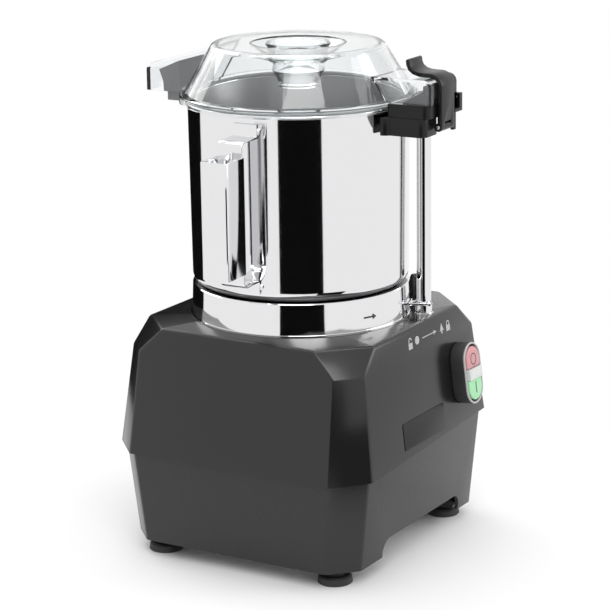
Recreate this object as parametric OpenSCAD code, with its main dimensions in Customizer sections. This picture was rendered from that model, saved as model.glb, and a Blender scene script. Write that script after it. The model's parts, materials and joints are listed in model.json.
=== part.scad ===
// Bowl cutter: a table-top food cutter with a locking steel bowl, a clear lid and a safety post.
// Millimetres. The origin is on the floor under the middle of the body, +Z is up and the front faces -Y.

/* [Body] */
// Width of the top face, left to right
top_w = 284; // [260:1:310]
// Depth of the top face, front to back
top_d = 284; // [270:1:310]
// Width at the seam, the widest line
seam_w = 332; // [316:1:360]
// Depth at the seam's lowest point
seam_d = 318; // [300:1:340]
// Width of the lower edge
edge_w = 310; // [296:1:322]
// Depth of the lower edge
edge_d = 282; // [272:1:300]
// Height of the top face above the floor
body_h = 258; // [250:1:280]
// Drop from the top face to the shoulder line
shoulder_drop = 29; // [20:1:40]
// Height of the seam above the floor at the left face
seam_h = 119; // [105:1:128]
// Climb of the seam from the left face to the right face
seam_rise = 14; // [0:1:20]
// Height of the lower edge above the floor
edge_h = 18; // [14:1:24]
// Corner cut at the top face
top_cut = 46; // [36:1:50]
// Corner cut at the shoulder
shoulder_cut = 24; // [18:1:30]
// Corner cut at the seam
seam_cut = 34; // [26:1:40]
// Corner cut at the lower edge
edge_cut = 28; // [22:1:34]
// Wall of both housings
wall = 4; // [3:0.5:5]
// Thickness of the top plate
top_t = 5; // [4:0.5:8]
// Step in from the upper housing to the lower base
seam_step = 5; // [4.5:0.5:7]
// Lip of the lower base inside the upper housing
seam_lip = 2; // [1:0.5:3]
// Rounding of the housings' edges
edge_r = 6; // [3:0.5:8]
// Height of the arch between the feet, above the lower edge
arch_h = 19.5; // [12:0.5:22]
// Reach of the arch to the left of the middle
arch_left = 80; // [60:1:90]
// Reach of the arch to the right of the middle
arch_right = 97; // [70:1:100]
// Corner radius of the arch
arch_r = 14; // [8:1:16]
// Place of the long bosses, from the middle, left and right
boss_x = 124; // [118:1:126]
// Place of the long bosses, from the middle, front and back
boss_y = 100; // [94:1:104]
// Radius of the long bosses
boss_r = 9; // [7:0.5:11]
// Thickness of the foot pads
pad_t = 8; // [6:1:10]
// Thickness of the bottom plate
plate_t = 2; // [1.5:0.5:3]
// Height of the bottom plate above the floor
plate_h = 40; // [38.5:0.5:46]
// Radius of the long screws
screw_r = 3; // [2.5:0.5:4]
// Height of a long screw's head
screw_head = 4; // [3:0.5:5]
// Number of vent slots in each row of the bottom plate
vent_n = 9; // [5:2:11]

/* [Feet] */
// Distance of the feet from the middle, left and right
foot_x = 124.5; // [118:0.5:128]
// Distance of the feet from the middle, front and back
foot_y = 108; // [104:0.5:112]
// Radius of a foot's cup
foot_r = 19; // [16:0.5:21]
// Height of a foot's cup
foot_cup = 9; // [6:0.5:11]
// Radius of a foot's stem
foot_stem_r = 11; // [8:0.5:13]
// Depth of the hollow under a foot
foot_hollow = 3; // [1:0.5:4]
// Radius of a foot's bolt
foot_bolt_r = 3; // [2:0.5:4]

/* [Bowl] */
// Distance of the bowl's axis behind the middle of the body
axis_y = 3; // [0:0.5:8]
// Outer radius of the bowl at its rim
bowl_r = 120.5; // [112:0.5:121]
// Outer radius of the bowl at its foot
bowl_foot_r = 119; // [110:0.5:120]
// Height of the bowl from its floor to its rim
bowl_h = 202; // [180:0.5:230]
// Thickness of the bowl's sheet
bowl_t = 1.5; // [1:0.1:2.5]
// Corner radius between the bowl's wall and its floor
bowl_corner_r = 12; // [8:0.5:16]
// Radius of the rolled bead at the rim
bead_r = 1.7; // [1.2:0.1:2]
// Height of the skirt below the bowl
skirt_h = 36; // [28:0.5:44]
// Outer radius of the skirt at its top
skirt_top_r = 119.4; // [110:0.2:120]
// Outer radius of the skirt at its foot
skirt_foot_r = 121; // [112:0.2:122]
// Width of the flange at the skirt's foot
skirt_flange = 1.6; // [1:0.2:2.4]
// Width of the groove between bowl and skirt
groove_w = 7; // [5:0.5:9]
// Inner radius of the chimney in the bowl's middle
chimney_r = 26; // [24:0.5:28]
// Height of the chimney above the bowl's floor
chimney_h = 46; // [36:1:60]
// Radius of the seat ring on the top plate
seat_r = 114; // [100:0.5:116]
// Height of the seat ring
seat_h = 16; // [10:0.5:22]
// Thickness of the seat
seat_t = 4; // [3:0.5:6]
// Height of the seat's hub
seat_hub_h = 26; // [18:0.5:32]

/* [Handle] */
// Direction of the handle seen from above
handle_angle = 183; // [170:1:190]
// Distance from the bowl's axis to the grip's outer face
grip_reach = 190; // [180:1:200]
// Depth of the grip, along its reach
grip_d = 37; // [28:0.5:40]
// Width of the grip
grip_w = 32; // [26:0.5:40]
// Height of the grip
grip_h = 124; // [100:1:130]
// Sheet thickness of grip and strap
strap_t = 2; // [1.5:0.1:3]
// Height between the strap's two ledges
strap_h = 156; // [146:1:160]
// Height of a strap's welded tab
tab_h = 15; // [10:0.5:16]
// Radius of the strap's bends
bend_r = 8; // [4:0.5:12]
// Radius of a weld ear
weld_r = 3; // [2:0.1:4]

/* [Lid] */
// Direction of the lid's front ear seen from above
ear_angle = -89; // [-92:1:-86]
// Height of the lid above its flange's lower edge
lid_h = 62; // [58:0.5:70]
// Outer radius of the lid's flange
flange_r = 129.5; // [126:0.5:132]
// Height of the lid's flange
flange_h = 10; // [8:0.5:11]
// Outer radius of the dome where it leaves the flange
dome_foot_r = 124; // [120:0.5:125]
// Outer radius of the dome's shoulder
dome_r = 96; // [88:0.5:100]
// Rounding of the dome's shoulder
dome_round = 7; // [4:0.5:10]
// Thickness of the lid
lid_t = 3.5; // [2.5:0.1:4]
// Outer radius of the dish in the lid's top
dish_r = 50.5; // [46:0.5:56]
// Depth of the dish
dish_h = 19; // [14:0.5:22]
// Radius of the stopper cup's rim
cup_rim_r = 35.3; // [33:0.1:38]
// Outer radius of the stopper cup's wall
cup_r = 28.5; // [26:0.5:30]
// Outer radius of the stopper cup's bottom
cup_foot_r = 21; // [18:0.5:24]
// Height of the stopper cup
cup_h = 50; // [44:0.5:54]
// Height of the stopper cup's tapered foot
cup_taper_h = 18; // [12:0.5:22]
// Thickness of the stopper cup
cup_t = 2.5; // [2:0.1:3]
// Width of both ears
ear_w = 60; // [52:1:64]
// Reach of the front ear from the bowl's axis
front_ear_r = 175; // [170:0.5:180]
// Reach of the rear ear from the bowl's axis
rear_ear_r = 176; // [166:0.5:180]
// Height of the front ear's top above the flange's lower edge
front_ear_h = 36; // [32:0.5:38]
// Height of the rear ear's outer end above the flange's lower edge
rear_ear_h = 33; // [28:0.5:36]
// Slope of the rear ear's top towards the dome
rear_ear_rise = 23; // [14:0.5:26]
// Height of the front ear's open lower edge above the flange's lower edge
front_ear_foot = 9.5; // [8.5:0.5:11]
// Height of the rear ear's open lower edge above the flange's lower edge
rear_ear_foot = 2; // [1:0.5:4]

/* [Latch and post] */
// Direction of the post seen from above
post_angle = -69; // [-71:0.5:-67]
// Distance from the bowl's axis to the post
post_reach = 136; // [134:0.5:138]
// Radius of the post
post_r = 8; // [7:0.25:8.5]
// Bore radius of the post
post_bore = 5; // [4.5:0.1:5.5]
// Radius of the sleeve at the post's foot
sleeve_r = 9.5; // [9:0.25:11]
// Height of the lock tab above the top face, which is also the top of the sleeve
sleeve_h = 11; // [8:0.5:14]
// Height of the black block on the post
head_h = 19.5; // [16:0.5:24]
// Height of the black collar under the lid's ear
collar_h = 14; // [12:0.5:15]
// Reach of the block past the lid's ear, towards the handle
head_proud = 4; // [0:0.5:6]
// Corner radius of the block
head_corner = 8; // [5:0.5:10]
// How far the block's outer face stays inside the collar's
head_back = 4.5; // [4:0.25:6]
// Width of the latch lever
lever_w = 30; // [24:0.5:36]
// Thickness of the latch lever
lever_t = 4.5; // [3.5:0.25:5]
// Height of the lever's pin below the collar
pin_drop = 11; // [9:0.5:13]
// Height of the lever's thumb tab above the lid's ear
thumb_h = 16; // [12:0.5:20]
// Radius of the lever's pin
pin_r = 2; // [1.5:0.1:2.5]
// Radius of the lever's knuckles
knuckle_r = 4.5; // [4:0.1:4.8]
// Width of the collar's knuckle
knuckle_w = 14; // [8:0.5:18]
// Reach of the lock tab past the post
tab_past = 9; // [6:0.5:12]
// Travel of the rod inside the post
rod_travel = 3; // [2:0.25:4]
// Height of the sensor tower above the top face
tower_h = 28; // [20:0.5:34]
// Distance from the bowl's axis to the sensor tower
tower_reach = 138; // [136:0.5:142]
// Direction of the sensor tower seen from above
tower_angle = -41; // [-45:1:-36]

/* [Switch and nameplate] */
// Place of the push buttons to the right of the middle
switch_x = 81; // [70:1:86]
// Height of the push buttons' middle above the floor
switch_h = 185; // [176:1:190]
// Width of the push buttons' boot
boot_w = 38; // [34:0.5:42]
// Height of the push buttons' boot
boot_l = 69; // [62:0.5:74]
// Depth of the boot, out from the front face
boot_d = 16.5; // [12:0.5:20]
// Width of the rim round the buttons
bezel_w = 2; // [1.5:0.25:3]
// Height of the pilot lens between the buttons
lens_h = 12; // [10:0.5:14]
// Depth of the pilot lens in front of the buttons
lens_d = 5; // [3:0.5:7]
// Travel of a push button
button_travel = 3; // [2:0.25:4]
// Width of the nameplate
plate_w = 94; // [80:1:100]
// Height of the nameplate
name_h = 29.5; // [20:0.5:32]
// Place of the nameplate's middle to the right of the middle
name_x = -10; // [-16:0.5:0]
// Height of the nameplate's middle above the floor
name_z = 148; // [147:0.5:154]

/* [Cutter] */
// Outer radius of the blade hub
hub_r = 35; // [33:0.5:38]
// Length of a blade from the axis
blade_r = 112; // [90:1:114]
// Thickness of a blade
blade_t = 3; // [2:0.25:4]
// Distance between the two blades
blade_gap = 20; // [14:1:30]
// Sweep of a blade in degrees
blade_sweep = 58; // [30:1:70]
// Radius of the knob on the hub
knob_r = 17; // [12:0.5:20]
// Height of the knob on the hub
knob_h = 20; // [14:0.5:26]

/* [Motor and electrics] */
// Radius of the motor's can
can_r = 72; // [66:0.5:74]
// Thickness of the motor's can
can_t = 5; // [4:0.5:6]
// Length of the motor's can
can_l = 118; // [110:1:122]
// Thickness of the end bells
bell_t = 10; // [8:0.5:12]
// Length of the stator's core
core_l = 72; // [50:1:78]
// Radius of the rotor
rotor_r = 40; // [34:0.5:44]
// Radius of the shaft in the front bearing
shaft_r = 12.5; // [11:0.5:14]
// Radius of the shaft in the rear bearing
tail_r = 8.5; // [7:0.5:9]
// Radius of the cooling fan
fan_r = 52; // [40:1:60]
// Number of fan blades
fan_n = 8; // [5:1:10]
// Radius of the run capacitor
cap_r = 18; // [14:0.5:20]
// Length of the run capacitor
cap_l = 82; // [60:1:88]
// Bore radius of the cord gland
gland_bore = 4.5; // [3.5:0.25:5.5]
// Place of the cord gland to the right of the middle
gland_x = 70; // [50:1:90]
// Height of the cord gland above the floor
gland_z = 72; // [64:1:84]

/* [Fits] */
// Gap between a shaft and its bearing
run_gap = 0.05; // [0.02:0.01:0.1]
// Gap between parts that slide or lift apart
slide_gap = 0.4; // [0.3:0.05:0.6]
// Gap between parts that rest on each other
rest_gap = 0.3; // [0.2:0.05:0.4]

/* [Hidden] */
$fn = 64;

// How far a cut runs past the face that it opens
over = 1;
// Thickness of a section that only carries an outline
film = 0.2;
// Steps round a rounded corner of the housings
round_fn = 16;
// How much less an octagon's corner cut is for each unit that its sides move in
cut_share = 2 - sqrt(2);
// Signs of an octagon's eight corners: side in X, side in Y, and whether the cut runs along X
corner_shares = [[1, -1, 0], [1, 1, 0], [1, 1, 1], [-1, 1, 1], [-1, 1, 0], [-1, -1, 0], [-1, -1, 1], [1, -1, 1]];
// The four corners that carry bosses, screws and feet
quarter_shares = [[-1, -1], [1, -1], [-1, 1], [1, 1]];

black_paint = [0.07, 0.07, 0.075];
black_plastic = [0.05, 0.05, 0.055];
rubber_black = [0.03, 0.03, 0.03];
steel = [0.8, 0.81, 0.83];
zinc = [0.62, 0.63, 0.65];
clear = [0.92, 0.94, 0.95, 0.35];

// Places of the body

// The handle reaches further left than the body, so the body's middle stands this far right of the origin
mid_x = (grip_reach - seam_w / 2) / 2;
shoulder_z = body_h - shoulder_drop;
flare_y = (seam_d - top_d) / 2 / (body_h - seam_h);
lean = atan(flare_y);
pad_z = edge_h;
plate_top = plate_h + plate_t;
// Height at which the long bosses of both housings meet
boss_meet = seam_h - 8;

function seam_z(x) = seam_h + seam_rise * (x / seam_w + 1 / 2);
function half_y(z) = top_d / 2 + flare_y * (body_h - z);
function half_x(z, side) = top_w / 2
    + (seam_w - top_w) / 2 * (body_h - z) / (body_h - seam_z(side * seam_w / 2));

// Eight points of the upper housing's outline at height z, moved in by inset; tilted ones follow the seam
function housing_ring(z, cut, inset, tilted = false) = [for (s = corner_shares)
    let (k = cut - inset * cut_share,
        x = s.x * ((tilted ? seam_w / 2 : half_x(z, s.x)) - inset - s.z * k),
        zz = tilted ? z + seam_z(x) - seam_h : z)
    [mid_x + x, s.y * (half_y(zz) - inset - (1 - s.z) * k), zz]];

// Eight points of the lower base's outline at its lower edge
function edge_ring(z, inset) = [for (s = corner_shares)
    let (k = edge_cut - inset * cut_share)
    [mid_x + s.x * (edge_w / 2 - inset - s.z * k), s.y * (edge_d / 2 - inset - (1 - s.z) * k), z]];

module balls(points, r) {
    for (p = points) translate(p) sphere(r, $fn = round_fn);
}

module discs(points, r) {
    for (p = points) translate(p) cylinder(h = film, r = r, $fn = round_fn);
}

module housing_solid(inset, top, low, r) {
    hull() {
        balls(housing_ring(body_h - top - r * cos(180 / round_fn), top_cut, inset + r), r);
        balls(housing_ring(shoulder_z, shoulder_cut, inset + r), r);
        discs(housing_ring(seam_h - low, seam_cut, inset + r, true), r);
    }
}

module base_solid(inset, low, high, r) {
    hull() {
        discs(edge_ring(edge_h - low, inset + r), r);
        discs(housing_ring(seam_h + high - film, seam_cut, seam_step + inset + r, true), r);
    }
}

// Gap between the front face and what is fixed to it
face_gap = 0.1;

// Places its children with X to the right, Y up the front face and Z out of it
module on_front(x, z) {
    translate([mid_x + x, -half_y(z), z]) rotate([90 - lean, 0, 0]) translate([0, 0, face_gap]) children();
}

module on_axis() {
    translate([mid_x, axis_y, 0]) children();
}

// Turns a profile of reach and height into the upright plane at this direction; its third axis runs clockwise
module facing(angle) {
    on_axis() rotate([0, 0, angle]) rotate([90, 0, 0]) children();
}

// A rectangle between two corners with round corners
module rounded(low, high, r) {
    translate([low.x + r, low.y]) square([high.x - low.x - 2 * r, high.y - low.y]);
    translate([low.x, low.y + r]) square([high.x - low.x, high.y - low.y - 2 * r]);
    for (x = [low.x + r, high.x - r], y = [low.y + r, high.y - r]) translate([x, y]) circle(r = r, $fn = 32);
}

module tube(h, outer, inner) {
    difference() {
        cylinder(h = h, r = outer);
        translate([0, 0, -over]) cylinder(h = h + 2 * over, r = inner);
    }
}

module at_quarters(x, y) {
    for (s = quarter_shares) translate([mid_x + s.x * x, s.y * y, 0]) children();
}

// Body

base_lip_z = seam_h + seam_lip;
rib_l = 46;
rib_t = 4;
pad_w = 52;
gland_thread_r = gland_bore + 3.5;

module arch_outline() {
    translate([mid_x - arch_left, edge_h - over]) square([arch_left + arch_right, over + arch_h - arch_r]);
    translate([mid_x - arch_left + arch_r, edge_h]) square([arch_left + arch_right - 2 * arch_r, arch_h]);
    for (x = [arch_r - arch_left, arch_right - arch_r])
        translate([mid_x + x, edge_h + arch_h - arch_r]) circle(r = arch_r);
}

module base_furniture() {
    at_quarters(boss_x, boss_y) translate([0, 0, plate_top]) cylinder(h = boss_meet - plate_top, r = boss_r);
    for (s = quarter_shares) {
        translate([mid_x + s.x * boss_x, s.y * boss_y, plate_top]) rotate([0, 0, atan2(s.y, s.x)])
            translate([boss_r - rib_t / 2, -rib_t / 2, 0])
                cube([rib_l - boss_r, rib_t, boss_meet - plate_top - rib_t]);
        translate([mid_x + s.x * foot_x - pad_w / 2, s.y * foot_y - pad_w / 2, pad_z])
            cube([pad_w, pad_w, pad_t]);
    }
}

module lower_base() {
    color(black_paint) difference() {
        union() {
            difference() {
                base_solid(0, 0, seam_lip, edge_r);
                base_solid(wall, over, seam_lip + over, edge_r - wall / 2);
            }
            intersection() {
                base_solid(wall / 2, 0, -wall, edge_r);
                base_furniture();
            }
        }
        translate([0, edge_d, 0]) rotate([90, 0, 0]) linear_extrude(2 * edge_d) arch_outline();
        at_quarters(boss_x, boss_y) translate([0, 0, plate_h]) cylinder(h = seam_h, r = screw_r + slide_gap);
        at_quarters(foot_x, foot_y) translate([0, 0, pad_z - over])
            cylinder(h = pad_t + 2 * over, r = foot_bolt_r + slide_gap);
        translate([mid_x + gland_x, edge_d, gland_z]) rotate([90, 0, 0])
            cylinder(h = edge_d, r = gland_thread_r + run_gap);
    }
}

seal_r = shaft_r + 8;
bolt_pitch_r = can_r + 8;
bolt_r = 4;
// How far the boot covers the edge of its hole
boot_lap = 5;
post_x = mid_x + post_reach * cos(post_angle);
post_y = axis_y + post_reach * sin(post_angle);
tower_x = mid_x + tower_reach * cos(tower_angle);
tower_y = axis_y + tower_reach * sin(tower_angle);

module stadium(w, l) {
    translate([-w / 2, (w - l) / 2]) square([w, l - w]);
    for (y = [(l - w) / 2, (w - l) / 2]) translate([0, y]) circle(r = w / 2);
}

module upper_housing() {
    color(black_paint) difference() {
        union() {
            difference() {
                housing_solid(0, 0, 0, edge_r);
                housing_solid(wall, top_t, over, edge_r - wall / 2);
            }
            at_quarters(boss_x, boss_y) translate([0, 0, boss_meet])
                cylinder(h = body_h - top_t - boss_meet, r = boss_r);
        }
        at_quarters(boss_x, boss_y) translate([0, 0, boss_meet - over])
            cylinder(h = screw_reach + over, r = screw_r + run_gap);
        on_axis() translate([0, 0, body_h - 2 * top_t]) cylinder(h = 3 * top_t, r = seal_r + run_gap);
        on_axis() for (a = [45:90:315]) rotate([0, 0, a]) translate([bolt_pitch_r, 0, body_h - 2 * top_t])
            cylinder(h = 3 * top_t, r = bolt_r + slide_gap);
        translate([post_x, post_y, body_h - 2 * top_t]) cylinder(h = 3 * top_t, r = post_r + run_gap);
        on_front(switch_x, switch_h) translate([0, 0, -2 * wall]) linear_extrude(3 * wall)
            stadium(boot_w - 2 * boot_lap, boot_l - 2 * boot_lap);
    }
}

// How far the long screws reach into the upper bosses
screw_reach = 24;

vent_l = 60;
vent_w = 5;
vent_pitch = 13;
vent_x = 42;

module vent_slot() {
    translate([-vent_l / 2, -vent_w / 2, 0]) cube([vent_l, vent_w, plate_t + 2 * over]);
    for (x = [-vent_l / 2, vent_l / 2]) translate([x, 0, 0])
        cylinder(h = plate_t + 2 * over, r = vent_w / 2, $fn = 24);
}

module bottom_plate() {
    color(zinc) difference() {
        translate([0, 0, plate_h]) linear_extrude(plate_t)
            polygon([for (p = edge_ring(0, wall + slide_gap)) [p.x, p.y]]);
        at_quarters(boss_x, boss_y) translate([0, 0, plate_h - over])
            cylinder(h = plate_t + 2 * over, r = screw_r + slide_gap);
        for (side = [-1, 1], i = [0:vent_n - 1])
            translate([mid_x + side * vent_x, (i - (vent_n - 1) / 2) * vent_pitch, plate_h - over]) vent_slot();
    }
}

module base_screws() {
    color(zinc) at_quarters(boss_x, boss_y) {
        translate([0, 0, plate_h - screw_head]) cylinder(h = screw_head, r = 2 * screw_r);
        translate([0, 0, plate_h]) cylinder(h = boss_meet + screw_reach - 2 - plate_h, r = screw_r);
    }
}

module foot(sx, sy) {
    color(rubber_black) translate([mid_x + sx * foot_x, sy * foot_y, 0]) difference() {
        rotate_extrude() polygon([[0, foot_hollow], [foot_r * 0.55, foot_hollow], [foot_r * 0.7, 0],
            [foot_r - 1, 0], [foot_r, 1], [foot_r - 1, foot_cup - 2], [foot_r - 3, foot_cup],
            [foot_stem_r, foot_cup], [foot_stem_r, edge_h], [0, edge_h]]);
        translate([0, 0, foot_cup]) cylinder(h = edge_h, r = foot_bolt_r + run_gap);
    }
}

module foot_front_left() { foot(-1, -1); }
module foot_front_right() { foot(1, -1); }
module foot_rear_left() { foot(-1, 1); }
module foot_rear_right() { foot(1, 1); }

module foot_screws() {
    color(zinc) at_quarters(foot_x, foot_y) {
        translate([0, 0, foot_cup + 1]) cylinder(h = pad_z + pad_t - foot_cup, r = foot_bolt_r);
        translate([0, 0, pad_z + pad_t]) cylinder(h = foot_bolt_r, r = 2 * foot_bolt_r, $fn = 6);
    }
}

name_t = 0.6;

name_r = 2;

module nameplate() {
    color(black_plastic) on_front(name_x, name_z) linear_extrude(name_t)
        rounded([-plate_w / 2, -name_h / 2], [plate_w / 2, name_h / 2], name_r);
}

// Seat, shaft seal and motor

can_top = body_h - top_t - bell_t;
can_low = can_top - can_l;
front_hub_r = shaft_r + 18;
front_pocket_r = shaft_r + 13.5;
front_bearing_w = 15;
rear_hub_r = tail_r + 16;
rear_pocket_r = tail_r + 11.5;
rear_bearing_w = 12;
hub_depth = 12;
bearing_cap = 3;
seat_hub_r = chimney_r - 2;
bolt_top = body_h + seat_t - 1;

module bowl_seat() {
    color(black_plastic) on_axis() translate([0, 0, body_h]) difference() {
        union() {
            cylinder(h = seat_t, r = seat_r);
            tube(seat_h, seat_r, seat_r - 6);
            cylinder(h = seat_hub_h, r = seat_hub_r);
        }
        translate([0, 0, -over]) cylinder(h = seat_hub_h + 2 * over, r = shaft_r + 3);
        translate([0, 0, -over]) cylinder(h = over + seat_t + 2, r = seal_r + run_gap);
        for (a = [45:90:315]) rotate([0, 0, a]) translate([bolt_pitch_r, 0, -over])
            cylinder(h = over + bolt_top - body_h + run_gap, r = bolt_r + run_gap);
    }
}

module shaft_seal() {
    color(rubber_black) on_axis() translate([0, 0, body_h - top_t])
        tube(top_t + seat_t + 1, seal_r, shaft_r + run_gap);
}

module front_end_bell() {
    color(zinc) on_axis() difference() {
        translate([0, 0, can_top - hub_depth]) union() {
            translate([0, 0, hub_depth]) cylinder(h = bell_t, r = can_r);
            cylinder(h = hub_depth + bell_t, r = front_hub_r);
            for (a = [45:90:315]) rotate([0, 0, a]) translate([bolt_pitch_r, 0, hub_depth])
                cylinder(h = bell_t, r = 2.4 * bolt_r);
        }
        translate([0, 0, can_top - hub_depth - over]) cylinder(h = bell_t + hub_depth + 2 * over, r = shaft_r + 3);
        translate([0, 0, can_top - hub_depth - over])
            cylinder(h = over + bearing_cap + front_bearing_w, r = front_pocket_r);
        for (a = [45:90:315]) rotate([0, 0, a]) translate([bolt_pitch_r, 0, can_top - over])
            cylinder(h = bell_t + 2 * over, r = bolt_r + slide_gap);
    }
}

module front_bearing() {
    color(steel) on_axis() translate([0, 0, can_top - hub_depth + bearing_cap])
        tube(front_bearing_w, front_pocket_r - run_gap, shaft_r + run_gap);
}

module motor_bolts() {
    color(zinc) on_axis() for (a = [45:90:315]) rotate([0, 0, a]) translate([bolt_pitch_r, 0, can_top]) {
        translate([0, 0, -2 * bolt_r]) cylinder(h = 2 * bolt_r, r = 1.6 * bolt_r, $fn = 6);
        cylinder(h = bolt_top - can_top, r = bolt_r);
    }
}

module motor_can() {
    color([0.3, 0.32, 0.34]) on_axis() translate([0, 0, can_low]) tube(can_l, can_r, can_r - can_t);
}

module rear_end_bell() {
    color(zinc) on_axis() difference() {
        translate([0, 0, can_low - bell_t]) union() {
            cylinder(h = bell_t, r = can_r);
            cylinder(h = bell_t + hub_depth - 4, r = rear_hub_r);
        }
        translate([0, 0, can_low - bell_t - over]) cylinder(h = 2 * bell_t + hub_depth, r = tail_r + 3);
        translate([0, 0, can_low - bell_t + bearing_cap]) cylinder(h = 2 * bell_t + hub_depth, r = rear_pocket_r);
        for (a = [0:45:315]) rotate([0, 0, a]) translate([(can_r + rear_hub_r) / 2, 0, can_low - bell_t - over])
            cylinder(h = bell_t + 2 * over, r = 9);
    }
}

module rear_bearing() {
    color(steel) on_axis() translate([0, 0, can_low - bell_t + bearing_cap])
        tube(rear_bearing_w, rear_pocket_r - run_gap, tail_r + run_gap);
}

core_low = can_low + (can_l - core_l) / 2;
head_l = 14;

module stator() {
    color([0.62, 0.36, 0.2]) on_axis() {
        translate([0, 0, core_low]) tube(core_l, can_r - can_t - run_gap, rotor_r + slide_gap);
        for (z = [core_low - head_l, core_low + core_l]) translate([0, 0, z])
            tube(head_l, can_r - can_t - 5, rotor_r + 6);
    }
}

module rotor() {
    color([0.5, 0.5, 0.52]) on_axis() translate([0, 0, core_low]) tube(core_l, rotor_r, shaft_r + 3 + run_gap);
}

fan_low = can_low - bell_t - 22;
fan_h = 14;
shaft_low = fan_low - 2;
hub_base = body_h + rest_gap + skirt_h + bowl_t + 4;
hub_top = hub_base + chimney_h + 6;
hub_cap = 9;
drive_r = 9;
hub_boss = 23;
hub_boss_low = hub_top - hub_cap - over - hub_boss;
stud_top = hub_top + knob_h - 5;
thread_r = 4;

module drive_shaft() {
    color(steel) on_axis() {
        translate([0, 0, shaft_low]) cylinder(h = core_low - shaft_low, r = tail_r);
        translate([0, 0, core_low]) cylinder(h = core_l, r = shaft_r + 3);
        translate([0, 0, core_low + core_l]) cylinder(h = hub_boss_low - core_low - core_l, r = shaft_r);
        translate([0, 0, hub_boss_low]) cylinder(h = hub_top - hub_boss_low - rest_gap, r = drive_r);
        translate([0, 0, hub_top - rest_gap]) cylinder(h = stud_top - hub_top, r = thread_r);
    }
}

module cooling_fan() {
    color(black_plastic) on_axis() translate([0, 0, fan_low]) difference() {
        union() {
            cylinder(h = fan_h, r = tail_r + 6);
            cylinder(h = 2, r = fan_r);
            for (i = [0:fan_n - 1]) rotate([0, 0, i * 360 / fan_n]) translate([tail_r + 4, -1, 0])
                cube([fan_r - tail_r - 6, 2, fan_h]);
        }
        translate([0, 0, -over]) cylinder(h = fan_h + 2 * over, r = tail_r + run_gap);
    }
}

// Cutter

hub_flange = 5;
lower_blade_z = hub_base + rest_gap + 2;
upper_blade_z = lower_blade_z + blade_t + blade_gap;
// Width of a blade at its root and at its tip, as angles
root_angle = 62;
tip_angle = 5;
blade_steps = 12;

module blade_hub() {
    color(black_plastic) on_axis() difference() {
        union() {
            translate([0, 0, hub_base + rest_gap]) cylinder(h = hub_top - hub_base - rest_gap, r = hub_r);
            translate([0, 0, hub_base + rest_gap]) cylinder(h = 2, r = hub_r + hub_flange);
            translate([0, 0, lower_blade_z + blade_t]) cylinder(h = blade_gap, r = hub_r + hub_flange);
        }
        translate([0, 0, hub_base - over]) cylinder(h = hub_top - hub_cap - hub_base, r = chimney_r + bowl_t + 2);
        translate([0, 0, hub_base]) cylinder(h = hub_top, r = drive_r + run_gap);
    }
    color(black_plastic) on_axis() translate([0, 0, hub_boss_low])
        tube(hub_boss + over, drive_r + hub_flange, drive_r + run_gap);
}

function wing_point(t, side) =
    let (r = hub_r + 2 + (blade_r - hub_r - 2) * t,
        a = blade_sweep * t + side * (root_angle + (tip_angle - root_angle) * pow(t, 0.7)) / 2)
    r * [cos(a), sin(a)];

module blade(z, turn) {
    color(steel) on_axis() translate([0, 0, z]) rotate([0, 0, turn]) difference() {
        union() {
            cylinder(h = blade_t, r = hub_r + hub_flange);
            for (a = [0, 180]) rotate([0, 0, a]) linear_extrude(blade_t) polygon(concat(
                [for (i = [0:blade_steps]) wing_point(i / blade_steps, 1)],
                [for (i = [blade_steps:-1:0]) wing_point(i / blade_steps, -1)]));
        }
        translate([0, 0, -over]) cylinder(h = blade_t + 2 * over, r = hub_r + run_gap);
    }
}

module lower_blade() { blade(lower_blade_z, 0); }
module upper_blade() { blade(upper_blade_z, 90); }

module blade_knob() {
    color(black_plastic) on_axis() translate([0, 0, hub_top]) difference() {
        union() {
            cylinder(h = knob_h, r = knob_r - 3);
            for (a = [0:60:300]) rotate([0, 0, a]) translate([knob_r - 5, 0, 0]) cylinder(h = knob_h - 2, r = 5);
        }
        translate([0, 0, -over]) cylinder(h = stud_top - hub_top + over, r = thread_r + run_gap);
    }
}

// Bowl

skirt_z = body_h + rest_gap;
floor_z = skirt_z + skirt_h;
rim_z = floor_z + bowl_h;
corner_steps = 8;
// The skirt's inner edge, under the flat of the bowl's floor
skirt_in = bowl_foot_r - bowl_corner_r - groove_w;

function bowl_corner(r, radius, z) = [for (i = [0:corner_steps])
    let (a = -90 + 90 * i / corner_steps) [r - radius + radius * cos(a), z + radius + radius * sin(a)]];

module bowl() {
    color(steel) on_axis() rotate_extrude() {
        polygon(concat([[chimney_r, floor_z]], bowl_corner(bowl_foot_r, bowl_corner_r, floor_z),
            [[bowl_r, rim_z], [bowl_r - bowl_t, rim_z]],
            [for (i = [corner_steps:-1:0])
                bowl_corner(bowl_foot_r - bowl_t, bowl_corner_r - bowl_t, floor_z + bowl_t)[i]],
            [[chimney_r + bowl_t, floor_z + bowl_t], [chimney_r + bowl_t, floor_z + chimney_h],
            [chimney_r, floor_z + chimney_h]]));
        translate([bowl_r + bead_r / 2, rim_z - bead_r]) circle(r = bead_r, $fn = 24);
    }
}

module bowl_skirt() {
    color(steel) on_axis() rotate_extrude() polygon([[skirt_foot_r + skirt_flange, skirt_z],
        [skirt_foot_r + skirt_flange, skirt_z + 2], [skirt_foot_r, skirt_z + 2],
        [skirt_foot_r - 0.4, skirt_z + 6], [skirt_top_r, floor_z - 1], [skirt_top_r - 1, floor_z],
        [skirt_in, floor_z], [skirt_in, floor_z - bowl_t],
        [skirt_top_r - bowl_t, floor_z - bowl_t], [skirt_foot_r - bowl_t - 0.4, skirt_z + 6],
        [skirt_foot_r - bowl_t, skirt_z]]);
}

tab_z = body_h + sleeve_h;
tab_t = 2.5;
slot_r = post_r + 0.8;
tab_left = 13;
tab_right = 9;
// Turn of the bowl from locked to free
lock_turn = 15;

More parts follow.
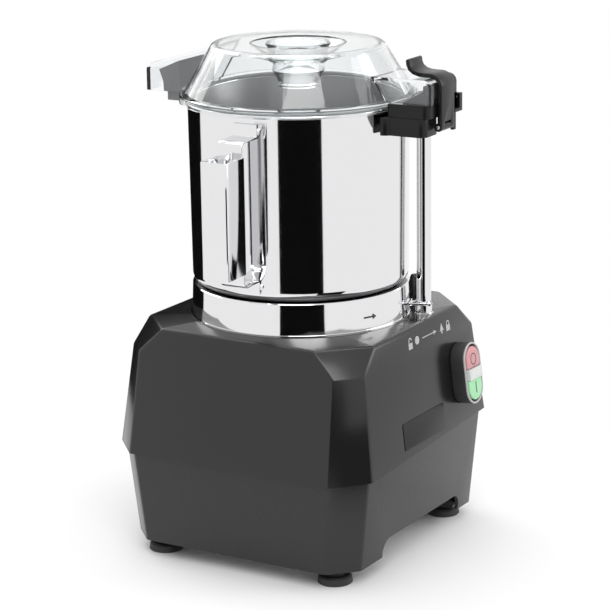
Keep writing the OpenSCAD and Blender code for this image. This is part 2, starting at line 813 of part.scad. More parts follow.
module lock_tab() {
    color(steel) on_axis() translate([0, 0, tab_z]) difference() {
        intersection() {
            rotate([0, 0, post_angle]) translate([skirt_foot_r - 10, -tab_left, 0])
                cube([post_reach - skirt_foot_r + 10 + tab_past + slot_r - post_r, tab_left + tab_right, tab_t]);
            cylinder(h = tab_t, r = post_reach + tab_past);
        }
        translate([0, 0, -over]) cylinder(h = tab_t + 2 * over, r = skirt_foot_r - 0.1);
        rotate([0, 0, post_angle]) {
            translate([post_reach, 0, -over]) cylinder(h = tab_t + 2 * over, r = slot_r);
            rotate_extrude(angle = lock_turn + 10) translate([post_reach - slot_r, -over])
                square([2 * slot_r, tab_t + 2 * over]);
        }
    }
}

// Handle

handle_mid = floor_z + bowl_h / 2;
strap_w = grip_w - 2 * strap_t;
leg_r = grip_reach - grip_d;
strap_top = handle_mid + strap_h / 2;
strap_low = handle_mid - strap_h / 2;
grip_low = handle_mid - grip_h / 2;
grip_round = 3;
weld_gap = 0.05;

// Outer radius of the bowl at height z
function wall_at(z) = bowl_foot_r + (bowl_r - bowl_foot_r) * (z - floor_z) / bowl_h;

module weld_tab(z) {
    linear_extrude(strap_w) translate([bowl_foot_r - bend_r, z])
        square([wall_at(z) + strap_t + bend_r - bowl_foot_r, tab_h]);
    for (t = [0, strap_w]) translate([bowl_foot_r - bend_r, z + tab_h / 2, t]) rotate([0, 90, 0])
        cylinder(h = wall_at(z) + strap_t / 2 + bend_r - bowl_foot_r, r = weld_r, $fn = 24);
}

module handle_strap() {
    color(steel) facing(handle_angle) difference() {
        translate([0, 0, -strap_w / 2]) {
            linear_extrude(strap_w) difference() {
                rounded([bowl_foot_r - 2 * bend_r, strap_low], [leg_r + strap_t, strap_top], bend_r);
                rounded([bowl_foot_r - 3 * bend_r, strap_low + strap_t],
                    [leg_r, strap_top - strap_t], bend_r - strap_t);
            }
            weld_tab(strap_top - strap_t);
            weld_tab(strap_low + strap_t - tab_h);
        }
        rotate([-90, 0, 0]) translate([0, 0, floor_z]) cylinder(h = bowl_h, r1 = bowl_foot_r + weld_gap,
            r2 = bowl_r + weld_gap, $fn = 128);
    }
}

module handle_grip() {
    color(steel) facing(handle_angle) rotate([-90, 0, 0]) translate([0, 0, grip_low]) linear_extrude(grip_h)
        difference() {
            rounded([leg_r - grip_round, -grip_w / 2], [grip_reach, grip_w / 2], grip_round);
            rounded([leg_r - grip_d / 2, -strap_w / 2], [grip_reach - strap_t, strap_w / 2], grip_round / 2);
            translate([leg_r - grip_d, -grip_w]) square([grip_d, 2 * grip_w]);
        }
}

// Lid

flange_z = rim_z - 3;
lid_top = flange_z + lid_h;
ledge_z = rim_z + 3;
seal_t = ledge_z - rim_z - rest_gap;
skin_share = 1.18;
round_steps = 6;
cup_rim_t = 2.5;
dish_low_r = cup_r + slide_gap;

// Points of a rounded dome shoulder whose top is at z and whose side is at r
function dome_arc(r, round, z) = [for (i = [0:round_steps])
    let (a = 25 + 65 * i / round_steps) [r - round + round * cos(a), z - round + round * sin(a)]];

function dome_profile(inset) = let (r = dome_foot_r - inset * skin_share)
    concat([[r, ledge_z + lid_t]], dome_arc(dome_r - inset * skin_share, dome_round, lid_top - inset));

module lid_shell() {
    rotate_extrude() polygon(concat([[flange_r, flange_z], [flange_r, flange_z + flange_h],
        [dome_foot_r, flange_z + flange_h + 1]], dome_arc(dome_r, dome_round, lid_top),
        [[dish_r, lid_top], [dish_low_r, lid_top - dish_h], [dish_low_r, lid_top - dish_h - lid_t],
        [dish_low_r + 2, lid_top - dish_h - lid_t], [dish_r + 2, lid_top - lid_t]],
        [for (i = [round_steps:-1:0]) dome_arc(dome_r - lid_t * skin_share, dome_round, lid_top - lid_t)[i]],
        [[dome_foot_r - lid_t * skin_share - 2, ledge_z + 1], [dome_foot_r - lid_t * skin_share - 2, ledge_z],
        [bowl_r + 2 * bead_r + 2, ledge_z], [bowl_r + 2 * bead_r + 2, flange_z]]));
}

module dome_block(grow) {
    rotate_extrude() polygon(concat([[0, flange_z], [flange_r + grow, flange_z],
        [flange_r + grow, flange_z + flange_h], [dome_foot_r + grow, flange_z + flange_h + 1]],
        dome_arc(dome_r + grow, dome_round, lid_top), [[0, lid_top]]));
}

ear_in = 92;
ear_round = 9;
ear_low = flange_z + front_ear_foot;
ear_top = flange_z + front_ear_h;

// Side view of an ear, moved in by inset on its outer end and top
module ear_outline(reach, foot, top, rise, inset) {
    under = inset > 0 ? over : 0;
    hull() {
        translate([ear_in, flange_z + foot - under]) square([reach - ear_in - inset, film + under]);
        translate([ear_in, flange_z + foot]) square([film, top + rise - foot - inset]);
        translate([reach - ear_round, flange_z + top - ear_round]) circle(r = ear_round - inset);
    }
}

module ear_pair(inset) {
    rotate([0, 0, ear_angle]) rotate([90, 0, 0]) translate([0, 0, inset - ear_w / 2])
        linear_extrude(ear_w - 2 * inset) ear_outline(front_ear_r, front_ear_foot, front_ear_h, 0, inset);
    rotate([0, 0, ear_angle + 180]) rotate([90, 0, 0]) translate([0, 0, inset - ear_w / 2])
        linear_extrude(ear_w - 2 * inset) ear_outline(rear_ear_r, rear_ear_foot, rear_ear_h, rear_ear_rise, inset);
}

module lid() {
    color(clear) on_axis() union() {
        lid_shell();
        difference() {
            ear_pair(0);
            difference() {
                ear_pair(lid_t);
                dome_block(0);
            }
            dome_block(-0.5);
        }
    }
}

module lid_seal() {
    color([0.55, 0.55, 0.56]) on_axis() translate([0, 0, rim_z + rest_gap])
        tube(seal_t, bowl_r + bead_r, bowl_r - 5);
}

cup_low = lid_top - cup_h;
// Width of the cup's shoulder, which rests in the dish
cup_seat = 3;
dish_slope = (dish_r - dish_low_r) / dish_h;
seat_low = lid_top - dish_h + slide_gap;

module stopper_cup() {
    color(clear) on_axis() rotate_extrude() polygon([[0, cup_low], [cup_foot_r + cup_t / 2, cup_low],
        [cup_foot_r + cup_t / 2, cup_low + cup_t / 2], [cup_foot_r, cup_low + cup_t],
        [cup_r, cup_low + cup_taper_h],
        [cup_r, seat_low], [cup_r + cup_seat, seat_low + cup_seat / dish_slope],
        [cup_rim_r - cup_t / 2, lid_top - cup_rim_t], [cup_rim_r, lid_top - cup_rim_t],
        [cup_rim_r, lid_top], [cup_rim_r - cup_t - cup_seat / 2, lid_top], [cup_r - cup_t, seat_low + cup_t],
        [cup_r - cup_t, cup_low + cup_taper_h], [cup_foot_r - cup_t, cup_low + 2 * cup_t],
        [0, cup_low + 2 * cup_t]]);
}

block_in = flange_r + 4;
block_w = ear_w - 2 * lid_t - 2 * rest_gap;
rear_block_out = rear_ear_r - 15;
rear_block_low = flange_z + rear_ear_foot;
rear_foot_h = 10;
rear_foot_l = 18;
front_block_out = front_ear_r - 2 * lid_t;
front_block_h = 20;
// Outlines of the blocks in the ears, as shares of their length and height
rear_block_shares = [[0, 0], [0.8, 0], [0.82, 0.3], [1, 0.68], [0.06, 1]];
front_block_shares = [[0.2, 0], [1, 0], [1, 1], [0.9, 1], [0.88, 0.7], [0.2, 0.06]];

module rear_block() {
    color([0.2, 0.2, 0.21]) facing(ear_angle + 180) translate([0, 0, -block_w / 2]) {
        linear_extrude(block_w) polygon([for (p = rear_block_shares) [block_in + p.x * (rear_block_out - block_in),
            rear_block_low + p.y * (rear_ear_h + lid_t - rear_ear_foot)]]);
        translate([block_in, rear_block_low - rear_foot_h, 0]) cube([rear_foot_l, rear_foot_h + over, block_w]);
    }
}

rear_pin_z = flange_z + 15;
rear_pin_t = block_w / 2 - 6;
rear_pin_r = 3.2;
rear_pin_l = 5;

module rear_pin() {
    color([0.9, 0.9, 0.9]) facing(ear_angle + 180) translate([rear_block_out, rear_pin_z, rear_pin_t])
        rotate([0, 90, 0]) {
            translate([0, 0, -rear_pin_l / 2]) cylinder(h = rear_pin_l, r = rear_pin_r / 2, $fn = 24);
            translate([0, 0, rear_pin_l / 2]) cylinder(h = rear_pin_l / 2, r = rear_pin_r, $fn = 24);
        }
}

module front_block() {
    color([0.2, 0.2, 0.21]) facing(ear_angle) translate([0, 0, -block_w / 2]) linear_extrude(block_w)
        polygon([for (p = front_block_shares) [block_in + p.x * (front_block_out - block_in),
            ear_low + p.y * front_block_h]]);
}

// Latch and post

collar_out = front_ear_r - 1;
collar_low = ear_low - collar_h;
head_top = collar_low - rest_gap;
head_low = head_top - head_h;
head_in = bowl_r + 2 * bead_r + 1;
head_out = collar_out - head_back;
head_side = ear_w / 2 + head_proud;
head_cap = 6;
// The rounded lobe that hugs the bowl beside the block
lobe_r = 10;
lobe_side = head_side + 4;

// Plan of the block and the collar above it: reach along X, the handle's side below
module head_plan(out, far, boss, lobe) {
    difference() {
        union() {
            hull() {
                for (y = [head_corner - head_side, far - head_corner])
                    translate([out - head_corner, y]) circle(r = head_corner, $fn = 32);
                translate([head_in + head_corner / 2, head_corner - head_side]) circle(r = head_corner, $fn = 32);
                rotate([0, 0, post_angle - ear_angle]) translate([post_reach, 0]) circle(r = boss, $fn = 32);
            }
            translate([head_in - head_back, lobe_r - lobe_side]) circle(r = lobe);
        }
        circle(r = head_in, $fn = 128);
    }
}

module post_head() {
    color(black_plastic) difference() {
        on_axis() translate([0, 0, head_low]) rotate([0, 0, ear_angle]) linear_extrude(head_h)
            head_plan(head_out, 0, post_r + 3, lobe_r);
        at_post(head_low - over) cylinder(h = over + head_h - head_cap, r = post_r + run_gap);
        at_post(head_low) cylinder(h = head_h + over, r = post_bore);
    }
}

pin_x = front_ear_r + slide_gap;
pin_z = collar_low - pin_drop;

module pin_bore() {
    translate([pin_x, pin_z, -lever_w]) cylinder(h = 2 * lever_w, r = pin_r + run_gap, $fn = 32);
}

hook_w = 6;
hook_t = 3.5;
hook_side = ear_w / 2 + 0.6;
hook_out = front_ear_r + hook_t;
hook_h = 19;
hook_drop = 21;
hook_arm = 11;

// The catch beside the lever: a base, an upright with an arm on top, and a tab that hangs down
module latch_hook() {
    translate([hook_out - 2 * hook_arm, collar_low, -hook_side - hook_w])
        cube([2 * hook_arm, hook_t, hook_w + hook_arm]);
    translate([0, 0, -hook_side - hook_w]) linear_extrude(hook_w) {
        translate([hook_out - 2 * hook_arm, collar_low]) square([2 * hook_arm, hook_t]);
        translate([hook_out - hook_t, collar_low]) square([hook_t, hook_h]);
        translate([hook_out - hook_arm, collar_low + hook_h - hook_t]) square([hook_arm, hook_t]);
        translate([hook_out - hook_arm, collar_low - hook_drop]) square([hook_t, hook_drop + hook_t]);
    }
}

module latch_collar() {
    color(black_plastic) difference() {
        union() {
            on_axis() translate([0, 0, collar_low]) rotate([0, 0, ear_angle]) linear_extrude(collar_h)
                difference() {
                    head_plan(collar_out, ear_w / 2, post_r + 1, lobe_r / 2);
                    circle(r = flange_r + 1, $fn = 128);
                }
            facing(ear_angle) translate([0, 0, -knuckle_w / 2]) linear_extrude(knuckle_w) {
                translate([pin_x, pin_z]) circle(r = knuckle_r, $fn = 32);
                translate([pin_x - knuckle_r, pin_z]) square([collar_out - pin_x + knuckle_r, pin_drop + over]);
            }
            facing(ear_angle) latch_hook();
        }
        facing(ear_angle) pin_bore();
    }
}

module latch_pin() {
    color(zinc) facing(ear_angle) translate([pin_x, pin_z, -lever_w / 2])
        cylinder(h = lever_w, r = pin_r, $fn = 32);
}

// Distance from the middle of the ear's round corner to the tip of the thumb tab
thumb_back = 26;
// The thumb tab's middle line, as shares of its reach and height
thumb_shares = [[1, 1], [0.98, 0.76], [0.9, 0.5], [0.74, 0.3], [0.5, 0.19], [0.25, 0.166]];
lever_mid = front_ear_r + slide_gap + lever_t / 2;
strap_z = pin_z + knuckle_r + lever_t / 4;
lever_line = concat(
    [for (p = thumb_shares) [front_ear_r - ear_round - p.x * thumb_back, ear_top + p.y * thumb_h]],
    [for (a = [90:-15:0]) [front_ear_r - ear_round, ear_top - ear_round]
        + (ear_round + slide_gap + lever_t / 2) * [cos(a), sin(a)]],
    [[lever_mid, strap_z]]);

// Unit normal of a line of points at point i
function normal(p, i) = let (d = p[min(i + 1, len(p) - 1)] - p[max(i - 1, 0)]) [-d.y, d.x] / norm(d);

module latch_lever() {
    n = len(lever_line) - 1;
    color(black_plastic) facing(ear_angle) difference() {
        translate([0, 0, -lever_w / 2]) {
            linear_extrude(lever_w) {
                polygon(concat([for (i = [0:n]) lever_line[i] + lever_t / 2 * normal(lever_line, i)],
                    [for (i = [n:-1:0]) lever_line[i] - lever_t / 2 * normal(lever_line, i)]));
                translate(lever_line[0]) circle(r = lever_t / 2, $fn = 24);
            }
            for (t = [0, (lever_w + knuckle_w) / 2 + slide_gap]) translate([0, 0, t])
                linear_extrude((lever_w - knuckle_w) / 2 - slide_gap) {
                    translate([pin_x, pin_z]) circle(r = knuckle_r, $fn = 32);
                    translate([pin_x, pin_z]) square([lever_t, strap_z - pin_z + over]);
                }
        }
        pin_bore();
    }
}

rod_r = post_bore - slide_gap;
post_low = body_h - top_t - 2 * post_r;
post_top = head_top - head_cap - run_gap;
nut_h = 7;
nut_wall = 3.5;
rod_top = collar_low - rest_gap;
rod_low = post_low - 2 * rod_travel;
rod_disc = 2;
switch_top = rod_low - rod_travel - rest_gap;

module at_post(z) {
    translate([post_x, post_y, z]) children();
}

module post_tube() {
    color(steel) at_post(post_low) tube(post_top - post_low, post_r, post_bore);
}

sleeve_foot = 1;

module post_sleeve() {
    color(steel) at_post(body_h) {
        tube(tab_z - body_h - rest_gap, sleeve_r, post_r + run_gap);
        tube(sleeve_foot, sleeve_r + sleeve_foot, post_r + run_gap);
    }
}

module post_nut() {
    color(zinc) at_post(body_h - top_t - nut_h) difference() {
        cylinder(h = nut_h, r = post_r + nut_wall, $fn = 6);
        translate([0, 0, -over]) cylinder(h = nut_h + 2 * over, r = post_r + run_gap);
    }
}

module interlock_rod() {
    color(zinc) at_post(rod_low) {
        cylinder(h = rod_top - rod_low, r = rod_r);
        cylinder(h = rod_disc, r = post_r);
    }
}

switch_body = [30, 16, 18];
bracket_t = 2;
bracket_l = 12;

module interlock_switch() {
    color([0.12, 0.12, 0.13]) at_post(switch_top - switch_body.z)
        translate([-switch_body.x / 2, -switch_body.y / 2, 0]) cube(switch_body);
}

module switch_bracket() {
    color(zinc) at_post(switch_top - switch_body.z) translate([-switch_body.x / 2, -switch_body.y / 2, 0]) {
        translate([-bracket_t, 0, 0])
            cube([bracket_t, switch_body.y, body_h - top_t - switch_top + switch_body.z]);
        translate([-bracket_l, 0, body_h - top_t - bracket_t - switch_top + switch_body.z])
            cube([bracket_l, switch_body.y, bracket_t]);
    }
}

tower_w = 20;
tower_t = 14;

module sensor_tower() {
    color(black_plastic) translate([tower_x, tower_y, body_h]) rotate([0, 0, tower_angle])
        translate([-tower_t / 2, 0, 0]) {
            translate([0, -tower_w / 2, 0]) cube([tower_t, tower_w, tower_h - tower_w / 2]);
            translate([0, 0, tower_h - tower_w / 2]) rotate([0, 90, 0])
                cylinder(h = tower_t, r = tower_w / 2, $fn = 32);
        }
}

// Push buttons

boot_wall = 4;
boot_floor = 5;
cap_w = boot_w - 2 * boot_wall;
cap_l2 = boot_l - 2 * boot_wall;
bezel_t = 2;
stem_r = 4;
stem_l = wall + 6;
lens_stem_r = 5;
block_depth = 30;

module switch_boot() {
    color(rubber_black) on_front(switch_x, switch_h) difference() {
        linear_extrude(boot_d) stadium(boot_w, boot_l);
        translate([0, 0, boot_floor]) linear_extrude(boot_d) stadium(cap_w, cap_l2);
        translate([0, 0, -over]) linear_extrude(boot_d) stadium(cap_w - 2 * boot_wall, cap_l2 - 2 * boot_wall);
    }
}

module switch_bezel() {
    color([0.92, 0.92, 0.92]) on_front(switch_x, switch_h) translate([0, 0, boot_d]) linear_extrude(bezel_t)
        difference() {
            stadium(boot_w, boot_l);
            stadium(boot_w - 2 * bezel_w, boot_l - 2 * bezel_w);
        }
}

module half_button(side) {
    color(side > 0 ? [0.86, 0.3, 0.32] : [0.35, 0.8, 0.45]) on_front(switch_x, switch_h) {
        translate([0, 0, boot_floor + button_travel + rest_gap]) linear_extrude(boot_d - boot_floor - rest_gap) intersection() {
            stadium(cap_w - 2 * slide_gap, cap_l2 - 2 * slide_gap);
            translate([-boot_w, side > 0 ? lens_h / 2 + slide_gap : -boot_l - lens_h / 2 - slide_gap])
                square([2 * boot_w, boot_l]);
        }
        translate([0, side * cap_l2 / 4, -stem_l])
            cylinder(h = stem_l + boot_floor + button_travel + 2 * rest_gap, r = stem_r);
    }
}

module stop_button() { half_button(1); }
module start_button() { half_button(-1); }

module pilot_lens() {
    color([0.95, 0.95, 0.95]) on_front(switch_x, switch_h) {
        translate([-cap_w / 2 + slide_gap, -lens_h / 2, boot_floor])
            cube([cap_w - 2 * slide_gap, lens_h, boot_d + lens_d - boot_floor]);
        translate([0, 0, -stem_l]) cylinder(h = stem_l + boot_floor + over, r = lens_stem_r);
    }
}

module contact_block() {
    color([0.2, 0.22, 0.24]) on_front(switch_x, switch_h) translate([0, 0, -stem_l - block_depth]) difference() {
        translate([-cap_w / 2, -cap_l2 / 2, 0]) cube([cap_w, cap_l2, block_depth + stem_l - wall - rest_gap]);
        for (y = [-cap_l2 / 4, cap_l2 / 4]) translate([0, y, block_depth - button_travel - over])
            cylinder(h = block_depth, r = stem_r + slide_gap);
        translate([0, 0, block_depth]) cylinder(h = block_depth, r = lens_stem_r + run_gap);
    }
}

// Electrics on the bottom plate and in the rear wall

gland_top = seam_z(gland_x) + seam_lip;
gland_y = edge_d / 2 + (half_y(gland_top) - seam_step - edge_d / 2) * (gland_z - edge_h) / (gland_top - edge_h);
gland_l = 24;
gland_flange = 6;
// Room for the slope of the wall behind the gland's nuts
gland_clear = 1.5;
gland_low = gland_y - wall - gland_flange - gland_clear + over;

module cord_gland() {
    color(black_plastic) translate([mid_x + gland_x, 0, gland_z]) rotate([-90, 0, 0]) difference() {
        union() {
            translate([0, 0, gland_low - over]) cylinder(h = gland_y + gland_l - gland_low, r = gland_thread_r);
            translate([0, 0, gland_y + gland_clear]) cylinder(h = gland_flange, r = gland_thread_r + gland_bore, $fn = 6);
            translate([0, 0, gland_low]) cylinder(h = gland_flange - over, r = gland_thread_r + gland_bore, $fn = 6);
            translate([0, 0, gland_y + gland_l / 2]) cylinder(h = gland_l / 2, r = gland_thread_r + 2);
        }
        translate([0, 0, gland_low - 2 * over]) cylinder(h = 3 * gland_l, r = gland_bore);
    }
}

cap_y = 112;
cradle_w = 12;

module run_capacitor() {
    color([0.85, 0.85, 0.83]) translate([mid_x - cap_l / 2, cap_y, plate_top + cap_r + bracket_t]) {
        rotate([0, 90, 0]) cylinder(h = cap_l, r = cap_r);
        for (x = [cradle_w, cap_l - 2 * cradle_w])
            translate([x, -cap_r - 1, -cap_r - bracket_t]) cube([cradle_w, 2 * cap_r + 2, cap_r]);
    }
}

board_low = [-60, -122];
board_size = [90, 50, 1.6];
board_inset = 5;
spacer_h = 8;
spacer_r = 3;
relay_size = [20, 16, 18];
driver_size = [24, 20, 15];

module control_board() {
    translate([mid_x + board_low.x, board_low.y, plate_top]) {
        color([0.1, 0.35, 0.2]) translate([0, 0, spacer_h]) cube(board_size);
        color(steel) for (x = [board_inset, board_size.x - board_inset], y = [board_inset, board_size.y - board_inset])
            translate([x, y, 0]) cylinder(h = spacer_h, r = spacer_r, $fn = 24);
        color([0.1, 0.2, 0.5]) translate([0, 0, spacer_h + board_size.z]) {
            translate([2 * board_inset, 2 * board_inset, 0]) cube(relay_size);
            translate([board_size.x - driver_size.x - 2 * board_inset, 2 * board_inset, 0]) cube(driver_size);
        }
    }
}

terminal_low = [62, 84];
terminal_size = [48, 18, 16];
terminal_n = 5;
terminal_r = 2.2;

module terminal_block() {
    color([0.85, 0.83, 0.75]) translate([mid_x + terminal_low.x, terminal_low.y, plate_top]) difference() {
        cube(terminal_size);
        for (i = [0:terminal_n - 1]) translate([(i + 1 / 2) * terminal_size.x / terminal_n, -over, terminal_size.z / 2])
            rotate([-90, 0, 0]) cylinder(h = terminal_size.y + 2 * over, r = terminal_r, $fn = 24);
    }
}

lower_base();
upper_housing();
bottom_plate();
base_screws();
foot_front_left();
foot_front_right();
foot_rear_left();
foot_rear_right();
foot_screws();
nameplate();
bowl_seat();
motor_can();
front_end_bell();
rear_end_bell();
motor_bolts();
stator();
front_bearing();
rear_bearing();
shaft_seal();
switch_boot();
switch_bezel();
pilot_lens();
contact_block();
cord_gland();
run_capacitor();
control_board();
terminal_block();
interlock_switch();
switch_bracket();
post_tube();
post_sleeve();
post_nut();
post_head();
sensor_tower();
rotor();
drive_shaft();
cooling_fan();
blade_hub();
lower_blade();
upper_blade();
blade_knob();
stop_button();
start_button();
interlock_rod();
bowl();
bowl_skirt();
lock_tab();
handle_strap();
handle_grip();
lid();
lid_seal();
rear_block();
rear_pin();
front_block();
latch_collar();
latch_pin();
latch_lever();
stopper_cup();
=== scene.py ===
"""Looks of the bowl cutter: smooth pieces, finishes, printed marks, studio and the photograph's camera."""
import json
import math

import bmesh
import bpy
from mathutils import Matrix, Vector


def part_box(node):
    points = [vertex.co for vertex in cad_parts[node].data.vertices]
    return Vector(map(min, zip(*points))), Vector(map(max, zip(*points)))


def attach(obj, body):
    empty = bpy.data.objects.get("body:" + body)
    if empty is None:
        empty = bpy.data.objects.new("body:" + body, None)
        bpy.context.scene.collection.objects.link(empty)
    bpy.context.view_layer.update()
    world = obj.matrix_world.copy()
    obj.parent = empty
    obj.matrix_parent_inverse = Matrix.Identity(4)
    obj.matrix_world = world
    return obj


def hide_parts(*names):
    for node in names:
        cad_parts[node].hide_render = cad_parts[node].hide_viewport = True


bl_info = {
    "name": "Bowl cutter looks",
    "version": (1, 0, 0),
    "blender": (4, 5, 0),
    "location": "3D View > Sidebar > Bowl cutter",
    "description": "Dresses the bowl cutter's CAD frame with smooth pieces, finishes and a studio",
    "category": "Object",
}

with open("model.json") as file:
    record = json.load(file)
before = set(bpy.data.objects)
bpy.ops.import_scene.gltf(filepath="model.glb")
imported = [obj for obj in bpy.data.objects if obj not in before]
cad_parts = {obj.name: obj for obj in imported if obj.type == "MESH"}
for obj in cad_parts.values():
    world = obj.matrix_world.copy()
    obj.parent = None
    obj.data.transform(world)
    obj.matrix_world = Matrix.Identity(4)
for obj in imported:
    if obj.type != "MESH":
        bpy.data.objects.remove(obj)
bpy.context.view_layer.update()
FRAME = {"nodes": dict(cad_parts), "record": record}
MM = 0.001
BODY_OF = {n: b for b, ns in FRAME["record"]["behaviour"]["bodies"].items() for n in ns}

# Angle above which an edge stays sharp: most pieces, the turned bowl, the sheet shells, the clear pieces
SHARP_ANGLE, BOWL_ANGLE, SHELL_ANGLE, CLEAR_ANGLE = 35.0, 50.0, 30.0, 28.0
# Distance below which two points of a CAD mesh are one
WELD = 0.004 * MM
# Steps of the bowl's big rounds, sides of a turned part in a tree
CURVE_STEPS, CONE_SIDES = 16, 24

# Lights: place in metres, side in metres, power in watts
LIGHTS = {
    "key_light": ((-2.2, -1.6, 2.4), 2.2, 62),
    "fill_light": ((1.6, -2.6, 1.5), 2.0, 34),
    "top_light": ((0.1, 0.3, 3.0), 2.4, 40),
    "back_light": ((0.8, 2.6, 1.9), 2.0, 26),
}
LIGHTS_AIM = Vector((0, 0, 0.28))
# Dark cards: direction from the bowl's axis in degrees, then distance, left, right and top in metres
CARDS = {
    "camera_card": (210.7, 0.8, -0.308, 0.32, 0.45),
    "rear_card": (57.5, 0.8, -0.34, 0.537, 0.6),
    "corner_card": (239, 0.42, -0.1, 0.1, 0.19),
}
WORLD_LIGHT = 0.42
FLOOR_HALF = 8.0
# Where the floor starts to turn white and where it is white, from the origin
FLOOR_FADE = (0.15, 0.55)

# The photograph's camera: turns in degrees, distance, aim, and shift of the aim in the picture's plane
CAMERA_TURNS = (-59.257, 14.691, 0.7955)
CAMERA_DISTANCE = 2.685775
CAMERA_AIM = Vector((12 * MM, 0, 0.26))
CAMERA_SHIFT = (0.989 * MM, 2.845 * MM)
FOCAL_PIXELS, PHOTO_PIXELS, SENSOR = 2428.81, 610, 36


def length(name, description, millimetres):
    return bpy.props.FloatProperty(name=name, description=description, default=millimetres * MM,
                                   subtype="DISTANCE", unit="LENGTH")


def colour(name, description, *default):
    return bpy.props.FloatVectorProperty(name=name, description=description, default=default,
                                         subtype="COLOR", size=3, min=0.0, max=1.0)


class CutterSizes(bpy.types.PropertyGroup):
    """Sizes of the bowl cutter's dressed pieces"""

    middle_x: length("Middle", "The body's middle, to the right of the origin", 12)
    axis_y: length("Axis", "The bowl's axis, behind the body's middle", 3)
    bowl_floor: length("Bowl floor", "Height of the bowl's floor", 294.3)
    bowl_rim: length("Bowl rim", "Height of the bowl's rim", 496.3)
    bowl_r: length("Rim radius", "Outer radius of the bowl at its rim", 120.5)
    bowl_foot_r: length("Foot radius", "Outer radius of the bowl at its foot", 119)
    bowl_t: length("Sheet", "Thickness of the bowl's sheet", 1.5)
    corner_r: length("Corner", "Radius between the bowl's wall and floor", 12)
    bead_r: length("Bead", "Radius of the rolled bead at the rim", 1.7)
    chimney_r: length("Chimney", "Inner radius of the tube in the bowl's middle", 26)
    chimney_h: length("Chimney height", "Height of the tube in the bowl's middle", 46)
    chimney_fillet: length("Chimney fillet", "Radius between the tube and the bowl's floor", 3)
    top_z: length("Top face", "Height of the body's top face", 258)
    top_y: length("Top depth", "Half the depth of the body's top face", 142)
    flare: bpy.props.FloatProperty(name="Flare", default=0.1223,
                                   description="How far the front face leans out for each unit down")
    print_t: length("Print", "Thickness of a printed mark", 0.12)
    marks_z: length("Marks", "Height of the row of marks on the front face", 242)
    skirt_mark_z: length("Skirt mark", "Height of the arrow on the skirt", 273.5)
    switch_x: length("Buttons", "Place of the buttons, right of the body's middle", 81)
    switch_z: length("Buttons' height", "Height of the buttons' middle", 185)
    sign_z: length("Signs", "Distance of the two signs from the buttons' middle", 16)
    ring_r: length("Stop ring", "Outer radius of the stop sign", 6.6)
    ring_t: length("Stop line", "Width of the stop sign's line", 1.1)
    bar_w: length("Start bar", "Width of the start sign", 1.8)
    bar_h: length("Start height", "Height of the start sign", 13)
    screw_r: length("Screw radius", "Radius of the screw heads under the body", 4)
    screw_h: length("Screw height", "Height of the screw heads under the body", 1.6)


class CutterColours(bpy.types.PropertyGroup):
    """Colours of the bowl cutter's finishes"""

    body: colour("Body", "Upper housing", 0.010, 0.010, 0.0105)
    base: colour("Base", "Lower base", 0.012, 0.012, 0.0125)
    plastic: colour("Plastic", "Latch, block and tower", 0.005, 0.005, 0.0055)
    rubber: colour("Rubber", "Feet and boot", 0.02, 0.02, 0.021)
    steel: colour("Polished steel", "Bowl, handle and post", 0.80, 0.80, 0.81)
    # Stop and start colours: the buttons' own red and green, made paler by painted sheen for their milky
    # highlights
    red: colour("Stop", "Stop button", 0.58, 0.27, 0.29)
    green: colour("Start", "Start button", 0.34, 0.68, 0.39)
    white: colour("White", "Rear pin, capacitor and terminals", 0.86, 0.86, 0.85)
    clear: colour("Clear", "Lid and cup", 0.95, 0.965, 0.97)


def sizes():
    """The sizes that the operators read"""
    return bpy.context.scene.cutter_sizes


def colours():
    """The colours that the finishes read"""
    return bpy.context.scene.cutter_colours


# Finishes

# The values between which most of a noise lies
NOISE_SPAN = (0.3, 0.7)


def tone(rgb, factor):
    """A colour made lighter or darker, with its alpha"""
    return tuple(min(1.0, c * factor) for c in rgb[:3]) + (1.0,)


